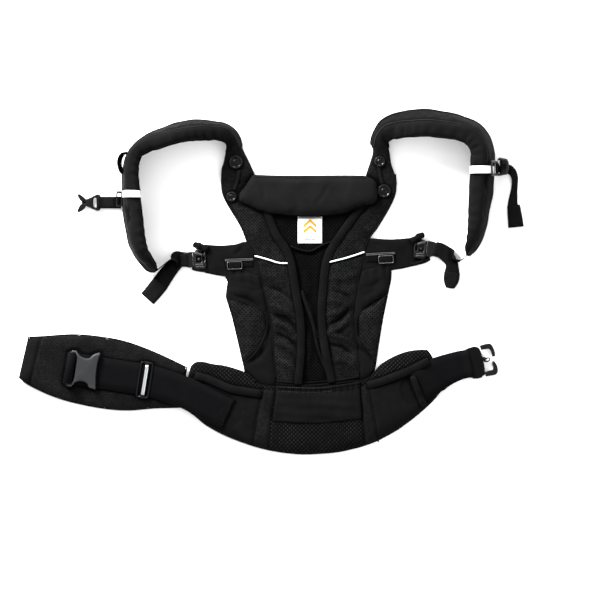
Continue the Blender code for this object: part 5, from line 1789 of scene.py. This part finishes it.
def build_buttons():
    """The four snap buttons, and the elastic between the two of each side."""
    ground = Surface("front_panel", "strap_pad_left", "strap_pad_right", "wing_left_cloth",
        "wing_right_cloth")
    for node in ("button_upper_left", "button_lower_left", "button_upper_right", "button_lower_right"):
        x, y, radius, _ = middle_of(node)
        around = [(x + radius * 0.7 * cos(t), y + radius * 0.7 * sin(t)) for t in np.linspace(0, 2 * pi, 9)]
        base = float(np.median(ground.top(around))) + 0.8
        profile = [(radius, -3.0), (radius, 1.0), (radius - 0.4, 1.9), (radius - 1.1, 2.3),
            (radius - 2.0, 2.1), (radius - 2.7, 1.2), (radius - 3.6, 0.9), (radius * 0.42, 1.0),
            (radius * 0.36, 1.7), (radius * 0.22, 2.0), (radius * 0.06, 2.05)]
        made = lathe(f"{node}_cap", profile, x, y, base, "button_black", "carrier")
        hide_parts(node)
    for side, line in (("left", [(-52, 178), (-54.5, 163), (-60.5, 146)]),
            ("right", [(171.5, 184), (173.5, 170), (177.5, 156)])):
        path = on_surface(smooth_line(line, 3), ground, 0.9, CALM)
        sweep(f"button_elastic_{side}", path, webbing_section(5.5, 1.2), "cloth_head", "carrier")


def build_tracks():
    """The seat-width tracks with their rails and sliders."""
    for side in ("left", "right"):
        x, y, half, z = middle_of(f"seat_track_{side}")
        half -= 1  # the rails end just inside the track
        turn = radians(2 if side == "left" else 3)
        along = np.array([cos(turn), sin(turn)])
        side_way = np.array([-along[1], along[0]])
        band = [tuple(np.array([x, y]) + along * s) + (z - 0.4,) for s in (-half, 0, half)]
        made = sweep(f"seat_track_{side}_band", smooth_line(band, 3), webbing_section(13, 1.0), "webbing",
            "carrier")
        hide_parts(f"seat_track_{side}")
        for k, shift in enumerate((5.0, 7.2)):
            rail = [tuple(np.array([x, y]) + along * s + side_way * shift) + (z + 0.6,)
                for s in (-half, 0, half)]
            sweep(f"seat_rail_{side}_{k}", smooth_line(rail, 3), round_section(0.48 - 0.1 * k, 8),
                "cloth_rail", "carrier")
        cx, cy = middle_of(f"seat_slider_{side}")[:2]
        cy -= 3.0  # the slider hangs low on its rails
        loop = [(-11.4, -4.6), (-10.2, -5.6), (10.2, -5.6), (11.4, -4.6), (11.4, 4.6), (10.2, 5.6),
            (-10.2, 5.6), (-11.4, 4.6)]
        wire = [tuple(np.array([cx, cy]) + along * a + side_way * b) + (z + 2.4,) for a, b in loop]
        sweep(f"seat_slider_{side}_wire", smooth_line(wire, 1.2, closed=True, sharp=NO_CORNERS),
            round_section(0.65, 10), "metal_dull", f"seat_slider_{side[0]}", closed=True)
        plate(f"seat_slider_{side}_plate", box_outline(-8.6, -4.0, 8.6, 4.4, 1), z + 0.6, z + 2.2,
            "plastic_black", f"seat_slider_{side[0]}", (), 0.6, local_frame(cx, cy, 0, degrees(turn)),
            nodes=(f"seat_slider_{side}",))


def build_label(panel_top):
    """The sewn label with a plain mark and two plain lines."""
    outline = [(42, 61), (81, 61), (81, 104.5), (42, 104.5)]
    label = applique("label_cloth", outline, panel_top, 1.4, "label_white", "carrier", spacing=3.0,
        round_off=0.8)
    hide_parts("woven_label")
    top = Surface(label)
    for k in range(2):
        y = 81.5 + 9.2 * k
        chevron = [(51, y - 5.0), (61.5, y + 4.2), (72, y - 5.0), (72, y + 0.4), (61.5, y + 9.6),
            (51, y + 0.4)]
        applique(f"label_mark_{k}", chevron, top, 0.25, "label_mark", "carrier", spacing=2.0, round_off=0.3)
    for k, (x0, x1) in enumerate(((47, 76), (52, 71))):
        y = 70.5 - 4.2 * k
        bar = [(x0, y), (x1, y), (x1, y + 1.9), (x0, y + 1.9)]
        applique(f"label_line_{k}", bar, top, 0.2, "label_line", "carrier", spacing=2.0, round_off=0.3)


# ---------------------------------------------------------------- stage


def build_stage():
    """The pale floor, the light and the camera, which looks straight down."""
    bpy.ops.mesh.primitive_plane_add(size=12, location=(0, 0, -0.0004))
    floor = bpy.context.object
    floor.name = "floor"
    g = Graph("floor_paper")
    g.finish((0.98, 0.98, 0.98), 0.9, specular=0.1)
    floor.data.materials.append(MATERIALS["floor_paper"])

    scene = bpy.context.scene
    scene.view_settings.view_transform = "Standard"
    world = bpy.data.worlds.new("studio")
    scene.world = world
    world.use_nodes = True
    world.node_tree.nodes["Background"].inputs[0].default_value = (1, 1, 1, 1)
    world.node_tree.nodes["Background"].inputs[1].default_value = WORLD_LIGHT
    for name, place, size, power in LAMPS:
        light = bpy.data.lights.new(name, "AREA")
        light.size = size
        light.energy = power
        lamp = bpy.data.objects.new(name, light)
        scene.collection.objects.link(lamp)
        lamp.location = place
        lamp.rotation_euler = (Vector((0, 0, 0)) - Vector(place)).to_track_quat("-Z", "Y").to_euler()

    camera = bpy.data.cameras.new("camera")
    camera.lens = CAMERA_LENS
    camera.sensor_width = 36
    camera.clip_end = 30
    seat = bpy.data.objects.new("camera", camera)
    scene.collection.objects.link(seat)
    seat.location = CAMERA_PLACE
    scene.camera = seat


def paint_crease_shade():
    """Paints shade into the cloth: stores how far each point lies below what is around it, so that seams and
    folds take a darker tone as if in shadow.
    """
    made = [obj for obj in bpy.data.objects if obj.type == "MESH" and "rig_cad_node" not in obj
        and obj.name != "floor"]
    cell = 1.25
    origin = np.array([-420.0, -300.0])
    size = (680, 480)
    tops = np.zeros(size)
    for obj in made:
        points = positions(obj)
        centers = np.array([tuple(p.center) for p in obj.data.polygons]) / MM
        both = np.vstack([points, centers])
        place = np.clip(((both[:, :2] - origin) / cell).round().astype(int), 0, np.array(size) - 1)
        np.maximum.at(tops, (place[:, 0], place[:, 1]), both[:, 2])
    wide = tops.copy()
    for dx in (-1, 0, 1):
        for dy in (-1, 0, 1):
            wide = np.maximum(wide, np.roll(tops, (dx, dy), (0, 1)))
    waves = np.fft.rfft2(wide)
    fx, fy = np.fft.fftfreq(size[0], cell)[:, None], np.fft.rfftfreq(size[1], cell)[None, :]

    def blurred(width):
        return np.fft.irfft2(waves * np.exp(-2 * (pi * width) ** 2 * (fx ** 2 + fy ** 2)), size)

    levels = [blurred(width) for width, _, _, _ in CREASE_SHADE_SIZES]
    for obj in made:
        points = positions(obj)
        normals = np.array([v.normal.z for v in obj.data.vertices])
        place = np.clip(((points[:, :2] - origin) / cell).round().astype(int), 0, np.array(size) - 1)
        at = (place[:, 0], place[:, 1])
        # painted shade: points lower than the blurred heights around them, on faces turned up, get a darker
        # colour
        low = np.zeros(len(points))
        for level, (_, least, extent, share) in zip(levels, CREASE_SHADE_SIZES):
            low += np.clip((level[at] - points[:, 2] - least) / extent, 0, 1) * share
        low *= np.clip(normals / 0.3, 0, 1)
        layer = obj.data.attributes.new("painted_shade", "FLOAT", "POINT")
        layer.data.foreach_set("value", low.astype(np.float32))


# ---------------------------------------------------------------- build

make_materials()
build_stage()
build_belt()
build_lumbar()
build_side_panels()
panel_top = build_front_panel()
lower_hem()
build_wings()
build_seat_flaps()
build_label(panel_top)
build_head_support()
build_head_hinge()
build_straps()
build_waist_webbing()
build_right_webbing()
finish_belt()
build_strap_webbing()
build_keeper_loop()
build_chest()
build_hardware()
paint_crease_shade()
